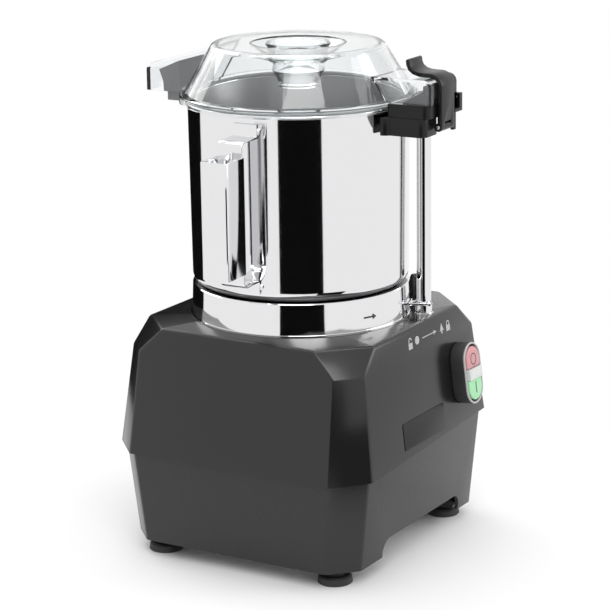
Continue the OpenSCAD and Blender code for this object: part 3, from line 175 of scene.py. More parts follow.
class Finish:
    """A Principled material whose colour, roughness and relief vary over the piece"""

    def __init__(self, name, colour, rough, **sockets):
        self.material = bpy.data.materials.new(name)
        self.material.use_nodes = True
        self.tree = self.material.node_tree
        self.shader = self.tree.nodes["Principled BSDF"]
        self.shader.inputs["Base Color"].default_value = tone(colour, 1)
        self.shader.inputs["Roughness"].default_value = rough
        self.colour, self.rough = colour, rough
        for socket, value in sockets.items():
            self.shader.inputs[socket.replace("_", " ")].default_value = value
        self.coords = self.tree.nodes.new("ShaderNodeTexCoord")

    def noise(self, scale, stretch=(1, 1, 1), detail=3.0):
        """Noise on the object's own coordinates, in features to the metre"""
        mapping = self.tree.nodes.new("ShaderNodeMapping")
        mapping.inputs["Scale"].default_value = stretch
        grain = self.tree.nodes.new("ShaderNodeTexNoise")
        grain.inputs["Scale"].default_value = scale
        grain.inputs["Detail"].default_value = detail
        self.tree.links.new(self.coords.outputs["Object"], mapping.inputs["Vector"])
        self.tree.links.new(mapping.outputs["Vector"], grain.inputs["Vector"])
        return grain.outputs["Fac"]

    def span(self, value, low, high):
        """Maps a noise value to a range"""
        node = self.tree.nodes.new("ShaderNodeMapRange")
        node.inputs["From Min"].default_value, node.inputs["From Max"].default_value = NOISE_SPAN
        node.inputs["To Min"].default_value, node.inputs["To Max"].default_value = low, high
        self.tree.links.new(value, node.inputs["Value"])
        return node.outputs["Result"]

    def mottle(self, scale, spread, stretch=(1, 1, 1)):
        """Colour that varies a little over the piece"""
        mix = self.tree.nodes.new("ShaderNodeMix")
        mix.data_type = "RGBA"
        mix.inputs["A"].default_value = tone(self.colour, 1 - spread)
        mix.inputs["B"].default_value = tone(self.colour, 1 + spread)
        self.tree.links.new(self.span(self.noise(scale, stretch), 0, 1), mix.inputs["Factor"])
        self.tree.links.new(mix.outputs["Result"], self.shader.inputs["Base Color"])
        return self

    def sheen_spread(self, scale, spread, stretch=(1, 1, 1)):
        """Roughness that varies a little over the piece"""
        result = self.span(self.noise(scale, stretch), self.rough - spread, self.rough + spread)
        self.tree.links.new(result, self.shader.inputs["Roughness"])
        return self

    def relief(self, scale, height, stretch=(1, 1, 1)):
        """Fine relief, such as a moulded grain or brushing lines"""
        bump = self.tree.nodes.new("ShaderNodeBump")
        bump.inputs["Strength"].default_value = 1.0
        bump.inputs["Distance"].default_value = height
        self.tree.links.new(self.noise(scale, stretch, detail=2.0), bump.inputs["Height"])
        self.tree.links.new(bump.outputs["Normal"], self.shader.inputs["Normal"])
        return self


def make_finishes():
    """Every finish by its key; sizes of noise are in features to the metre, heights in metres"""
    c = colours()
    round_lines, long_lines = (1, 1, 14), (1, 14, 14)
    return {key: f.material for key, f in {
        "body": Finish("satin_black_paint", c.body, 0.22)
        .mottle(9, 0.06).sheen_spread(14, 0.03).relief(1400, 0.00002),
        "base": Finish("satin_base_paint", c.base, 0.26)
        .mottle(9, 0.06).sheen_spread(14, 0.03).relief(1400, 0.00003),
        "plastic": Finish("black_moulding", c.plastic, 0.3, Specular_IOR_Level=0.3)
        .mottle(30, 0.1).sheen_spread(60, 0.04).relief(2200, 0.00002),
        "dark": Finish("dark_moulding", (0.10, 0.10, 0.105), 0.4).mottle(40, 0.08).sheen_spread(60, 0.05),
        "rubber": Finish("soft_rubber", c.rubber, 0.62)
        .mottle(60, 0.15).sheen_spread(80, 0.06).relief(1800, 0.00004),
        "steel": Finish("mirror_steel", c.steel, 0.055, Metallic=1.0)
        .sheen_spread(160, 0.02, round_lines).relief(300, 0.000004, round_lines),
        # The bowl's inside: the dark colour is painted shade inside the bowl, the higher roughness is its satin
        # finish
        "inside": Finish("satin_inside_painted_shade", (0.24, 0.24, 0.243), 0.34, Metallic=1.0)
        .sheen_spread(160, 0.04, round_lines).relief(300, 0.00001, round_lines),
        "ink": Finish("dark_print", (0.05, 0.045, 0.045), 0.5),
        "stamp": Finish("grey_print", (0.42, 0.42, 0.42), 0.5),
        "rim": Finish("grey_rim", (0.45, 0.45, 0.45), 0.3),
        "grey": Finish("grey_moulding", (0.16, 0.16, 0.165), 0.4),
        "blade": Finish("ground_steel", (0.66, 0.66, 0.67), 0.24, Metallic=1.0)
        .sheen_spread(300, 0.05, long_lines).relief(900, 0.00002, long_lines),
        "plate": Finish("brushed_plate", (0.55, 0.55, 0.56), 0.33, Metallic=1.0)
        .mottle(20, 0.05).sheen_spread(300, 0.06, long_lines).relief(900, 0.00002, long_lines),
        "core": Finish("dull_steel", (0.4, 0.4, 0.41), 0.4, Metallic=1.0)
        .mottle(50, 0.1).sheen_spread(200, 0.06, round_lines),
        "zinc": Finish("zinc_plate", (0.62, 0.62, 0.60), 0.3, Metallic=1.0)
        .mottle(120, 0.06).sheen_spread(90, 0.05),
        "cast": Finish("cast_alloy", (0.62, 0.63, 0.64), 0.5, Metallic=1.0)
        .mottle(90, 0.08).relief(600, 0.0001),
        "white": Finish("white_moulding", c.white, 0.25).mottle(40, 0.02).sheen_spread(60, 0.04),
        "lens": Finish("milky_lens", (0.80, 0.82, 0.80), 0.12, Transmission_Weight=0.25)
        .mottle(60, 0.03).relief(500, 0.00003),
        # Button finishes: their pale colours are the buttons' red and green with painted sheen mixed in
        "red": Finish("stop_red_painted_sheen", c.red, 0.22).mottle(60, 0.05).sheen_spread(60, 0.04),
        "green": Finish("start_green_painted_sheen", c.green, 0.22).mottle(60, 0.05).sheen_spread(60, 0.04),
        "board": Finish("board_green", (0.05, 0.25, 0.12), 0.3).mottle(200, 0.2),
        "copper": Finish("copper_wire", (0.6, 0.3, 0.16), 0.35, Metallic=1.0)
        .mottle(300, 0.15).relief(900, 0.0002, long_lines),
        "seal": Finish("grey_seal", (0.36, 0.37, 0.38), 0.5).mottle(60, 0.06).sheen_spread(80, 0.05),
        "clear": Finish("clear_acrylic", c.clear, 0.02, Transmission_Weight=1.0, IOR=1.49)
        .sheen_spread(40, 0.012).relief(30, 0.00003),
    }.items()}


FINISHES = {}


def finish(key):
    """The material of a finish; all are made on the first call"""
    if not FINISHES:
        FINISHES.update(make_finishes())
    return FINISHES[key]

def seen_by_eye(tree):
    """1 on rays from the camera, off a gloss or through glass, and 0 on the light's own rays"""
    path = tree.nodes.new("ShaderNodeLightPath")
    value = path.outputs["Is Camera Ray"]
    for output in ("Is Glossy Ray", "Is Transmission Ray"):
        either = tree.nodes.new("ShaderNodeMath")
        either.operation = "MAXIMUM"
        tree.links.new(value, either.inputs[0])
        tree.links.new(path.outputs[output], either.inputs[1])
        value = either.outputs[0]
    return value


# Making pieces

def piece_from(name, mesh, body, key, angle=SHARP_ANGLE):
    """Links a mesh as a piece: smooth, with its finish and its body"""
    mesh.name = name
    mesh.materials.clear()
    mesh.materials.append(finish(key))
    mesh.polygons.foreach_set("material_index", [0] * len(mesh.polygons))
    mesh.polygons.foreach_set("use_smooth", [True] * len(mesh.polygons))
    mesh.set_sharp_from_angle(angle=math.radians(angle))
    piece = bpy.data.objects.new(name, mesh)
    bpy.context.scene.collection.objects.link(piece)
    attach(piece, body)
    return piece


def baked(bm, bevel=0.0, segments=3):
    """The mesh of a bmesh with its edges rounded, as a plain mesh"""
    mesh = bpy.data.meshes.new("work")
    bm.to_mesh(mesh)
    bm.free()
    if not bevel:
        return mesh
    work = bpy.data.objects.new("work", mesh)
    bpy.context.scene.collection.objects.link(work)
    rounding = work.modifiers.new("rounding", "BEVEL")
    rounding.width, rounding.segments = bevel, segments
    rounding.limit_method, rounding.angle_limit = "ANGLE", math.radians(SHARP_ANGLE)
    rounding.miter_outer = "MITER_ARC"
    result = bpy.data.meshes.new_from_object(work.evaluated_get(bpy.context.evaluated_depsgraph_get()))
    bpy.data.objects.remove(work)
    bpy.data.meshes.remove(mesh)
    return result


def smooth_node(node, key, bevel=0.0, segments=3, angle=SHARP_ANGLE):
    """Replaces a CAD node with a welded copy of it whose curves are smooth and whose edges are softened"""
    bm = bmesh.new()
    bm.from_mesh(FRAME["nodes"][node].data)
    bmesh.ops.remove_doubles(bm, verts=bm.verts, dist=WELD)
    if bevel:
        bmesh.ops.dissolve_limit(bm, angle_limit=math.radians(1.0), verts=bm.verts, edges=bm.edges)
    for layer in list(bm.loops.layers.float_vector.values()):
        bm.loops.layers.float_vector.remove(layer)
    mesh = baked(bm, bevel, segments)
    if "custom_normal" in mesh.attributes:
        mesh.attributes.remove(mesh.attributes["custom_normal"])
    piece = piece_from("smooth_" + node, mesh, BODY_OF[node], key, angle)
    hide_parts(node)
    return piece


def paint_node(node, key):
    """Gives a CAD node that keeps its own shape a finish"""
    mesh = FRAME["nodes"][node].data
    mesh.materials.clear()
    mesh.materials.append(finish(key))


def arc(centre, radius, start, end, steps):
    """Points on a circle's arc, in degrees"""
    return [(centre[0] + radius * math.cos(math.radians(start + (end - start) * i / steps)),
             centre[1] + radius * math.sin(math.radians(start + (end - start) * i / steps)))
            for i in range(steps + 1)]


def spun(profile, steps=256):
    """A closed profile of reach and height, turned about the bowl's axis"""
    s = sizes()
    bm = bmesh.new()
    rings = [[bm.verts.new((s.middle_x + r * math.cos(2 * math.pi * i / steps),
                            s.axis_y + r * math.sin(2 * math.pi * i / steps), z)) for r, z in profile]
             for i in range(steps)]
    for i, ring in enumerate(rings):
        after = rings[(i + 1) % steps]
        for j in range(len(profile)):
            k = (j + 1) % len(profile)
            bm.faces.new((ring[j], after[j], after[k], ring[k]))
    bmesh.ops.recalc_face_normals(bm, faces=bm.faces)
    return bm


def front_place(x, z, proud):
    """Placement on the front face: X to the right, Y up the face and Z out of it"""
    s = sizes()
    lean = math.atan(s.flare)
    y = -(s.top_y + s.flare * (s.top_z - z))
    turn = Matrix(((1, 0, 0), (0, math.sin(lean), -math.cos(lean)), (0, math.cos(lean), math.sin(lean))))
    normal = Vector((0, -math.cos(lean), math.sin(lean)))
    return Matrix.Translation(Vector((s.middle_x + x, y, z)) + proud * normal) @ turn.to_4x4()


def printed(name, shapes, place, body, key):
    """Flat shapes made as thick as a print; place puts a flat point and a height into the frame"""
    bm, thickness = bmesh.new(), sizes().print_t
    for shape in shapes:
        low = [bm.verts.new(place(x, y, 0.0)) for x, y in shape]
        high = [bm.verts.new(place(x, y, thickness)) for x, y in shape]
        bm.faces.new(list(reversed(low)))
        bm.faces.new(high)
        for i in range(len(shape)):
            j = (i + 1) % len(shape)
            bm.faces.new((low[i], low[j], high[j], high[i]))
    bmesh.ops.recalc_face_normals(bm, faces=bm.faces)
    bmesh.ops.triangulate(bm, faces=bm.faces)
    return piece_from(name, baked(bm), body, key)


def ribbon(points, width):
    """Outline of a line of points with a width"""
    left, right = [], []
    for i, p in enumerate(points):
        a, b = points[max(i - 1, 0)], points[min(i + 1, len(points) - 1)]
        d = Vector((b[0] - a[0], b[1] - a[1])).normalized() * (width / 2)
        left.append((p[0] - d.y, p[1] + d.x))
        right.append((p[0] + d.y, p[1] - d.x))
    return left + right[::-1]


def round_box(x, y, width, height, r, steps=6):
    """A rectangle with round corners about a middle"""
    corners = ((1, 1, 0), (-1, 1, 90), (-1, -1, 180), (1, -1, 270))
    return [p for sx, sy, a in corners
            for p in arc((x + sx * (width / 2 - r), y + sy * (height / 2 - r)), r, a, a + 90, steps)]


# Geometry Nodes

def repeat_tree(name, build, inputs):
    """A tree that sets the part made by build on each point of the mesh, realized and painted"""
    tree = bpy.data.node_groups.new(name, "GeometryNodeTree")
    tree.interface.new_socket("Geometry", in_out="INPUT", socket_type="NodeSocketGeometry")
    for label, value in inputs.items():
        socket = tree.interface.new_socket(label, in_out="INPUT", socket_type="NodeSocketFloat")
        socket.default_value = value
    tree.interface.new_socket("Finish", in_out="INPUT", socket_type="NodeSocketMaterial")
    tree.interface.new_socket("Geometry", in_out="OUTPUT", socket_type="NodeSocketGeometry")
    start, end = tree.nodes.new("NodeGroupInput"), tree.nodes.new("NodeGroupOutput")
    to_points = tree.nodes.new("GeometryNodeInstanceOnPoints")
    realize, paint = tree.nodes.new("GeometryNodeRealizeInstances"), tree.nodes.new("GeometryNodeSetMaterial")
    link = tree.links.new
    link(start.outputs["Geometry"], to_points.inputs["Points"])
    link(build(tree, start), to_points.inputs["Instance"])
    link(to_points.outputs["Instances"], realize.inputs["Geometry"])
    link(realize.outputs["Geometry"], paint.inputs["Geometry"])
    link(start.outputs["Finish"], paint.inputs["Material"])
    link(paint.outputs["Geometry"], end.inputs["Geometry"])
    return tree


def repeated(name, points, tree, values, body, key):
    """Runs a tree on a set of points and keeps the result as a plain mesh"""
    carrier = bpy.data.meshes.new("carrier")
    carrier.from_pydata([tuple(p) for p in points], [], [])
    work = bpy.data.objects.new("work", carrier)
    bpy.context.scene.collection.objects.link(work)
    nodes = work.modifiers.new("repeat", "NODES")
    nodes.node_group = tree
    for item in tree.interface.items_tree:
        if item.in_out == "INPUT" and item.name in values:
            nodes[item.identifier] = values[item.name]
        if item.in_out == "INPUT" and item.name == "Finish":
            nodes[item.identifier] = finish(key)
    mesh = bpy.data.meshes.new_from_object(work.evaluated_get(bpy.context.evaluated_depsgraph_get()))
    work.modifiers.clear()
    bpy.data.objects.remove(work)
    return piece_from(name, mesh, body, key)


def lathe(tree, start, profile):
    """A round part in a tree: a stack of cones; a profile row holds shares of the radius and the height"""
    join = tree.nodes.new("GeometryNodeJoinGeometry")
    link = tree.links.new
    for (low_r, low_z), (high_r, high_z) in zip(profile, profile[1:]):
        cone = tree.nodes.new("GeometryNodeMeshCone")
        cone.inputs["Vertices"].default_value = CONE_SIDES
        cone.fill_type = "NGON"
        for share, socket, label in ((low_r, "Radius Bottom", "Radius"), (high_r, "Radius Top", "Radius"),
                                     (high_z - low_z, "Depth", "Height")):
            times = tree.nodes.new("ShaderNodeMath")
            times.operation = "MULTIPLY"
            times.inputs[1].default_value = share
            link(start.outputs[label], times.inputs[0])
            link(times.outputs[0], cone.inputs[socket])
        lift = tree.nodes.new("ShaderNodeMath")
        lift.operation = "MULTIPLY"
        lift.inputs[1].default_value = low_z
        link(start.outputs["Height"], lift.inputs[0])
        place, move = tree.nodes.new("ShaderNodeCombineXYZ"), tree.nodes.new("GeometryNodeTransform")
        link(lift.outputs[0], place.inputs["Z"])
        link(cone.outputs["Mesh"], move.inputs["Geometry"])
        link(place.outputs["Vector"], move.inputs["Translation"])
        link(move.outputs["Geometry"], join.inputs["Geometry"])
    return join.outputs["Geometry"]


# Operators

class BOWLCUTTER_OT_stage(bpy.types.Operator):
    """Adds the floor, the studio light, the dark cards that the steel reflects, and the camera"""

    bl_idname = "bowlcutter.stage"
    bl_label = "Studio and camera"

    def execute(self, context):
        scene = context.scene
        scene.view_settings.view_transform = "Standard"
        self.add_floor(scene)
        self.add_world(scene)
        for name, (place, size, power) in LIGHTS.items():
            self.add_light(scene, name, Vector(place), size, power)
        for name, row in CARDS.items():
            self.add_card(scene, name, *row)
        self.add_camera(scene)
        return {"FINISHED"}

    def add_stage_piece(self, scene, name, bm, material):
        """Links a mesh as a stage piece, which is not part of the object"""
        mesh = bpy.data.meshes.new(name)
        bm.to_mesh(mesh)
        bm.free()
        mesh.materials.append(material)
        piece = bpy.data.objects.new(name, mesh)
        scene.collection.objects.link(piece)
        return piece

    def add_floor(self, scene):
        bm = bmesh.new()
        bmesh.ops.create_grid(bm, x_segments=8, y_segments=8, size=FLOOR_HALF)
        self.add_stage_piece(scene, "floor", bm, self.floor_paint())

    def floor_paint(self):
        """Pale paint that keeps the shadow near the object and turns white further out"""
        paint = Finish("pale_floor", (0.90, 0.90, 0.90), 0.75)
        tree = paint.mottle(3, 0.004).tree
        nodes, link = tree.nodes, tree.links.new
        length_of, fade = nodes.new("ShaderNodeVectorMath"), nodes.new("ShaderNodeMapRange")
        length_of.operation = "LENGTH"
        fade.inputs["From Min"].default_value, fade.inputs["From Max"].default_value = FLOOR_FADE
        glow, mix = nodes.new("ShaderNodeEmission"), nodes.new("ShaderNodeMixShader")
        link(paint.coords.outputs["Object"], length_of.inputs[0])
        link(length_of.outputs["Value"], fade.inputs["Value"])
        both = nodes.new("ShaderNodeMath")
        both.operation = "MULTIPLY"
        link(fade.outputs["Result"], both.inputs[0])
        link(seen_by_eye(tree), both.inputs[1])
        link(both.outputs[0], mix.inputs["Fac"])
        link(paint.shader.outputs["BSDF"], mix.inputs[1])
        link(glow.outputs["Emission"], mix.inputs[2])
        link(mix.outputs["Shader"], nodes["Material Output"].inputs["Surface"])
        return paint.material

    def add_world(self, scene):
        world = bpy.data.worlds.new("studio")
        world.use_nodes = True
        scene.world = world
        nodes, link = world.node_tree.nodes, world.node_tree.links.new
        light, seen = nodes["Background"], nodes.new("ShaderNodeBackground")
        for background, strength in ((light, WORLD_LIGHT), (seen, 1.0)):
            background.inputs["Color"].default_value = (1, 1, 1, 1)
            background.inputs["Strength"].default_value = strength
        mix = nodes.new("ShaderNodeMixShader")
        link(seen_by_eye(world.node_tree), mix.inputs["Fac"])
        link(light.outputs["Background"], mix.inputs[1])
        link(seen.outputs["Background"], mix.inputs[2])
        link(mix.outputs["Shader"], nodes["World Output"].inputs["Surface"])

    def add_light(self, scene, name, place, size, power):
        data = bpy.data.lights.new(name, "AREA")
        data.shape, data.size, data.energy = "SQUARE", size, power
        lamp = bpy.data.objects.new(name, data)
        lamp.location = place
        lamp.rotation_euler = (place - LIGHTS_AIM).to_track_quat("Z", "Y").to_euler()
        scene.collection.objects.link(lamp)

    def add_card(self, scene, name, direction, distance, left, right, top):
        """A black card that only glossy surfaces see, across its direction and up to its top"""
        s = sizes()
        a = math.radians(direction)
        out, across = Vector((math.cos(a), math.sin(a), 0)), Vector((-math.sin(a), math.cos(a), 0))
        middle = Vector((s.middle_x, s.axis_y, 0)) + out * distance
        bm = bmesh.new()
        bm.faces.new([bm.verts.new(middle + across * x + Vector((0, 0, z)))
                      for x, z in ((left, MM), (right, MM), (right, top), (left, top))])
        black = Finish(name, (0.004, 0.004, 0.004), 1.0, Specular_IOR_Level=0.0).material
        card = self.add_stage_piece(scene, name, bm, black)
        card.visible_camera = card.visible_diffuse = card.visible_shadow = card.visible_transmission = False

    def add_camera(self, scene):
        azimuth, elevation, roll = (math.radians(x) for x in CAMERA_TURNS)
        back = Vector((math.sin(azimuth) * math.cos(elevation), -math.cos(azimuth) * math.cos(elevation),
                       math.sin(elevation)))
        right = Vector((math.cos(azimuth), math.sin(azimuth), 0))
        up = back.cross(right)
        right, up = (math.cos(roll) * right - math.sin(roll) * up,
                     math.sin(roll) * right + math.cos(roll) * up)
        data = bpy.data.cameras.new("camera")
        data.lens, data.sensor_width = FOCAL_PIXELS / PHOTO_PIXELS * SENSOR, SENSOR
        camera = bpy.data.objects.new("camera", data)
        eye = CAMERA_AIM + CAMERA_SHIFT[0] * right + CAMERA_SHIFT[1] * up + CAMERA_DISTANCE * back
        turn = Matrix((right, up, back)).transposed().to_4x4()
        camera.matrix_world = Matrix.Translation(eye) @ turn
        scene.collection.objects.link(camera)
        scene.camera = camera


class BOWLCUTTER_OT_body(bpy.types.Operator):
    """Dresses the housings, the feet, the nameplate and the small fixed pieces"""

    bl_idname = "bowlcutter.body"
    bl_label = "Body"

    def execute(self, context):
        smooth_node("upper_housing", "body", angle=SHELL_ANGLE)
        smooth_node("lower_base", "base", angle=SHELL_ANGLE)
        smooth_node("nameplate", "plastic", bevel=0.15 * MM)
        smooth_node("bowl_seat", "plastic")
        for side in ("front_left", "front_right", "rear_left", "rear_right"):
            smooth_node("foot_" + side, "rubber")
        smooth_node("sensor_tower", "plastic", bevel=1.2 * MM)
        smooth_node("cord_gland", "plastic")
        paint_node("bottom_plate", "plate")
        return {"FINISHED"}


class BOWLCUTTER_OT_works(bpy.types.Operator):
    """Gives the motor and the electrics inside the body their finishes"""

    bl_idname = "bowlcutter.works"
    bl_label = "Works"

    def execute(self, context):
        for key, nodes in {
            "plate": ("motor_can",), "cast": ("front_end_bell", "rear_end_bell"), "copper": ("stator",),
            "zinc": ("base_screws", "foot_screws", "motor_bolts", "post_nut", "switch_bracket"),
            "core": ("front_bearing", "rear_bearing", "rotor", "drive_shaft"),
            "rubber": ("shaft_seal",), "plastic": ("cooling_fan",), "board": ("control_board",),
            "dark": ("contact_block", "interlock_switch"), "white": ("run_capacitor", "terminal_block"),
        }.items():
            for node in nodes:
                paint_node(node, key)
        return {"FINISHED"}


class BOWLCUTTER_OT_bowl(bpy.types.Operator):
    """Adds the polished bowl with its rolled rim, its skirt, the lock tab and the cutter inside"""

    bl_idname = "bowlcutter.bowl"
    bl_label = "Bowl and cutter"

    def execute(self, context):
        s = sizes()
        mesh = baked(spun(self.profile(s)))
        piece = piece_from("polished_bowl", mesh, "bowl", "steel", BOWL_ANGLE)
        self.paint_shade_inside(piece.data, s)
        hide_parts("bowl")
        smooth_node("bowl_skirt", "steel", angle=SHELL_ANGLE)
        smooth_node("lock_tab", "steel", bevel=0.3 * MM)
        smooth_node("blade_hub", "plastic")
        smooth_node("blade_knob", "plastic", bevel=0.8 * MM)
        for node in ("lower_blade", "upper_blade"):
            smooth_node(node, "blade", bevel=0.4 * MM, segments=1)
        return {"FINISHED"}

    def profile(self, s):
        """The bowl's section: outside up to the bead, back down the inside, and the chimney"""
        t, fillet = s.bowl_t, s.chimney_fillet
        # The wall ends this far under the rim, and the bead turns this far to each side
        bead_low, bead_sweep = 2.6 * s.bead_r, 110
        corner = (s.bowl_foot_r - s.corner_r, s.bowl_floor + s.corner_r)
        outside = [(s.chimney_r, s.bowl_floor)] + arc(corner, s.corner_r, -90, 0, CURVE_STEPS)
        wall = [(s.bowl_r, s.bowl_rim - bead_low)]
        bead_middle = (s.bowl_r + s.bead_r / 2, s.bowl_rim - s.bead_r)
        bead = arc(bead_middle, s.bead_r, -bead_sweep, bead_sweep, CURVE_STEPS)
        lip = [(s.bowl_r - t / 2, s.bowl_rim), (s.bowl_r - t, s.bowl_rim - t)]
        inside = arc(corner, s.corner_r - t, 0, -90, CURVE_STEPS)
        foot = (s.chimney_r + t + fillet, s.bowl_floor + t)
        chimney = [foot] + arc((foot[0], foot[1] + fillet), fillet, -90, -180, 6)[1:]
        chimney += arc((s.chimney_r + t / 2, s.bowl_floor + s.chimney_h - t / 2), t / 2, 0, 180, 8)
        return outside + wall + bead + lip + inside + chimney

    # Painted shade: every face inside the bowl, the chimney included, gets the darker steel
    def paint_shade_inside(self, mesh, s):
        """Gives the bowl's inside a satin finish whose darker colour is painted shade"""
        mesh.materials.append(finish("inside"))
        for face in mesh.polygons:
            reach = math.hypot(face.center.x - s.middle_x, face.center.y - s.axis_y)
            if face.center.z > s.bowl_floor + s.bowl_t / 2 and reach < s.bowl_foot_r - s.bowl_t / 2:
                face.material_index = 1


class BOWLCUTTER_OT_handle(bpy.types.Operator):
    """Dresses the bowl's handle: folded strap and grip"""

    bl_idname = "bowlcutter.handle"
    bl_label = "Handle"

    def execute(self, context):
        smooth_node("handle_strap", "steel", bevel=0.3 * MM, segments=2)
        smooth_node("handle_grip", "steel", bevel=0.35 * MM, segments=2)
        return {"FINISHED"}


class BOWLCUTTER_OT_lid(bpy.types.Operator):
    """Dresses the clear lid, its seal, the blocks in its ears and the cup"""

    bl_idname = "bowlcutter.lid"
    bl_label = "Lid"

    def execute(self, context):
        smooth_node("lid", "clear", angle=CLEAR_ANGLE)
        smooth_node("stopper_cup", "clear", angle=CLEAR_ANGLE)
        smooth_node("lid_seal", "seal", bevel=0.4 * MM)
        smooth_node("rear_block", "grey", bevel=0.8 * MM)
        smooth_node("front_block", "dark", bevel=0.8 * MM)
        smooth_node("rear_pin", "white", bevel=0.3 * MM)
        return {"FINISHED"}


class BOWLCUTTER_OT_latch(bpy.types.Operator):
    """Dresses the latch, the safety post and the block on it"""

    bl_idname = "bowlcutter.latch"
    bl_label = "Latch and post"

    def execute(self, context):
        smooth_node("latch_collar", "plastic", bevel=0.8 * MM)
        smooth_node("latch_lever", "plastic", bevel=0.9 * MM)
        smooth_node("post_head", "plastic", bevel=1.2 * MM)
        smooth_node("latch_pin", "zinc", bevel=0.3 * MM)
        for node in ("post_tube", "post_sleeve"):
            smooth_node(node, "steel")
        smooth_node("interlock_rod", "zinc")
        return {"FINISHED"}


class BOWLCUTTER_OT_buttons(bpy.types.Operator):
    """Dresses the push buttons, their boot, rim and lens, with the stop and start signs"""

    bl_idname = "bowlcutter.buttons"
    bl_label = "Push buttons"

    def execute(self, context):
        s = sizes()
        smooth_node("switch_boot", "rubber", bevel=1.4 * MM)
        smooth_node("switch_bezel", "rim", bevel=0.6 * MM)
        smooth_node("pilot_lens", "lens", bevel=1.2 * MM)
        for node, key in (("stop_button", "red"), ("start_button", "green")):
            smooth_node(node, key, bevel=1.5 * MM, segments=4)
        place = front_place(s.switch_x, s.switch_z, 0.0)
        proud = self.cap_height(place)
        bar = [round_box(0, -s.sign_z, s.bar_w, s.bar_h, s.bar_w / 3)]
        signs = (("stop_sign", self.ring(s), "stop_button"), ("start_sign", bar, "start_button"))
        for name, shapes, body in signs:
            printed(name, shapes, lambda x, y, h: place @ Vector((x, y, proud + h)), body, "ink")
        return {"FINISHED"}

    def ring(self, s, steps=32):
        """The stop sign's ring, in quads"""
        outer, inner = (arc((0, s.sign_z), r, 0, 360, steps) for r in (s.ring_r, s.ring_r - s.ring_t))
        return [(outer[i], outer[i + 1], inner[i + 1], inner[i]) for i in range(steps)]

    def cap_height(self, place):
        """How far the buttons' flat faces stand out of the front face, with a hair's breadth over them"""
        back = place.inverted()
        return max((back @ v.co).z for v in FRAME["nodes"]["stop_button"].data.vertices) + 0.01 * MM


class BOWLCUTTER_OT_marks(bpy.types.Operator):
    """Prints the lock marks on the front face and the arrow on the skirt"""

    bl_idname = "bowlcutter.marks"
    bl_label = "Marks"

    def execute(self, context):
        s = sizes()
        place = front_place(0, s.marks_z, s.print_t)
        shapes = self.padlock(x=-20.6, lift=0.9) + self.padlock(x=66.6, lift=0.0)
        shapes += self.dot() + self.arrow() + self.pointer()
        printed("lock_marks", shapes, lambda x, y, h: place @ Vector((x, y, h)),
                "housing", "stamp")
        self.skirt_arrow(s)
        return {"FINISHED"}

    def padlock(self, x, lift, body=(8.8, 6.8), body_z=-2.6, shackle_r=2.8, shackle_z=2.3, foot_z=0.7, line=1.5):
        """A padlock sign at x, in millimetres; lift opens its shackle, whose legs stand at foot_z"""
        x, shackle_r, foot_z = x * MM, shackle_r * MM, foot_z * MM
        body = round_box(x, body_z * MM, body[0] * MM, body[1] * MM, 0.7 * MM)
        path = [(x - shackle_r, foot_z)] + arc((x, (shackle_z + lift) * MM), shackle_r, 180, 0, 12)
        if not lift:
            path.append((x + shackle_r, foot_z))
        line = ribbon(path, line * MM)
        half = len(path)
        return [body] + [(line[i], line[i + 1], line[2 * half - 2 - i], line[2 * half - 1 - i])
                         for i in range(half - 1)]

    def dot(self, x=-5.2, z=0.4, radius=4.6, steps=40):
        """The round mark, in millimetres"""
        return [arc((x * MM, z * MM), radius * MM, 0, 360, steps)[:-1]]

    def arrow(self, middle=20, shaft=27, line=1.1, barb=32, notch=33.6, tip=39.5, half_head=2.6):
        """The arrow between the marks: its shaft, and its head from barb to tip, in millimetres"""
        head = [(barb, half_head), (notch, 0), (barb, -half_head), (tip, 0)]
        return [round_box(middle * MM, 0, shaft * MM, line * MM, 0.3 * MM),
                [(x * MM, z * MM) for x, z in head]]

    def pointer(self, x=51.6, top=6.2, low=-3.2, notch=-1.6, half_w=4.7, stem_w=2.6, stem_h=3.8):
        """The pointer that stands on a short stem, in millimetres"""
        head = [(x, top), (x - half_w, low), (x, notch), (x + half_w, low)]
        return [[(a * MM, b * MM) for a, b in head],
                round_box(x * MM, -stem_h * MM, stem_w * MM, stem_h * MM, 0.3 * MM)]

    def skirt_arrow(self, s, start=-112, step=1.5, tail=-8, steps=8, half_line=0.8, head=(4, 8.5),
                    half_head=3):
        """The arrow on the skirt; start is its direction in degrees and the sizes are in millimetres"""
        low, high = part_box("bowl_skirt")
        # The skirt's wall stands this far inside its widest ring
        ring_out = 1.9 * MM
        reach = (high.x - low.x) / 2 - ring_out

        def place(x, y, h):
            a = math.radians(start) + x / reach
            r = reach + h
            return Vector((s.middle_x + r * math.cos(a), s.axis_y + r * math.sin(a), s.skirt_mark_z + y))
        shapes = [[(a, -half_line), (a + step, -half_line), (a + step, half_line), (a, half_line)]
                  for a in (tail + i * step for i in range(steps))]
        shapes.append([(head[0], -half_head), (head[1], 0), (head[0], half_head)])
        shapes = [[(x * MM, y * MM) for x, y in shape] for shape in shapes]
        printed("skirt_arrow", shapes, place, "bowl", "ink")


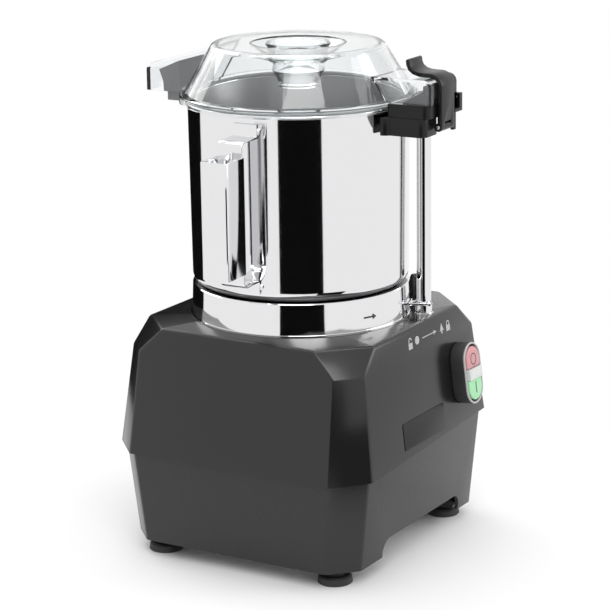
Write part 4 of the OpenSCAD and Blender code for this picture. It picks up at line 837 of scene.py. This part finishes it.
class BOWLCUTTER_OT_fasteners(bpy.types.Operator):
    """Adds the screw heads under the body, repeated by a tree"""

    bl_idname = "bowlcutter.fasteners"
    bl_label = "Fasteners"

    def execute(self, context):
        s = sizes()
        values = {"Radius": s.screw_r, "Height": s.screw_h}
        head = repeat_tree("screw_head", lambda tree, start: lathe(
            tree, start, ((0.55, 0.0), (1.0, 0.35), (1.0, 1.0))), values)
        apart_x, apart_y, screw_z = 60 * MM, 118 * MM, 38.4 * MM
        points = [(s.middle_x + x, y, screw_z) for x in (-apart_x, apart_x) for y in (-apart_y, apart_y)]
        repeated("plate_screws", points, head, values, "housing", "zinc")
        return {"FINISHED"}


OPERATORS = (BOWLCUTTER_OT_stage, BOWLCUTTER_OT_body, BOWLCUTTER_OT_works, BOWLCUTTER_OT_bowl,
             BOWLCUTTER_OT_handle, BOWLCUTTER_OT_lid, BOWLCUTTER_OT_latch, BOWLCUTTER_OT_buttons,
             BOWLCUTTER_OT_marks, BOWLCUTTER_OT_fasteners)


class BOWLCUTTER_PT_panel(bpy.types.Panel):
    """Lists the bowl cutter's groups"""

    bl_idname = "BOWLCUTTER_PT_panel"
    bl_label = "Bowl cutter"
    bl_space_type = "VIEW_3D"
    bl_region_type = "UI"
    bl_category = "Bowl cutter"

    def draw(self, context):
        for operator in OPERATORS:
            self.layout.operator(operator.bl_idname)
        for group in (context.scene.cutter_sizes, context.scene.cutter_colours):
            for key in group.bl_rna.properties.keys():
                if key not in ("rna_type", "name"):
                    self.layout.prop(group, key)


CLASSES = (CutterSizes, CutterColours, *OPERATORS, BOWLCUTTER_PT_panel)


def register():
    for cls in CLASSES:
        bpy.utils.register_class(cls)
    bpy.types.Scene.cutter_sizes = bpy.props.PointerProperty(type=CutterSizes)
    bpy.types.Scene.cutter_colours = bpy.props.PointerProperty(type=CutterColours)


def unregister():
    del bpy.types.Scene.cutter_sizes, bpy.types.Scene.cutter_colours
    for cls in reversed(CLASSES):
        bpy.utils.unregister_class(cls)


def main():
    register()
    for operator in OPERATORS:
        getattr(bpy.ops.bowlcutter, operator.bl_idname.split(".")[1])()


if __name__ == "__main__":
    main()
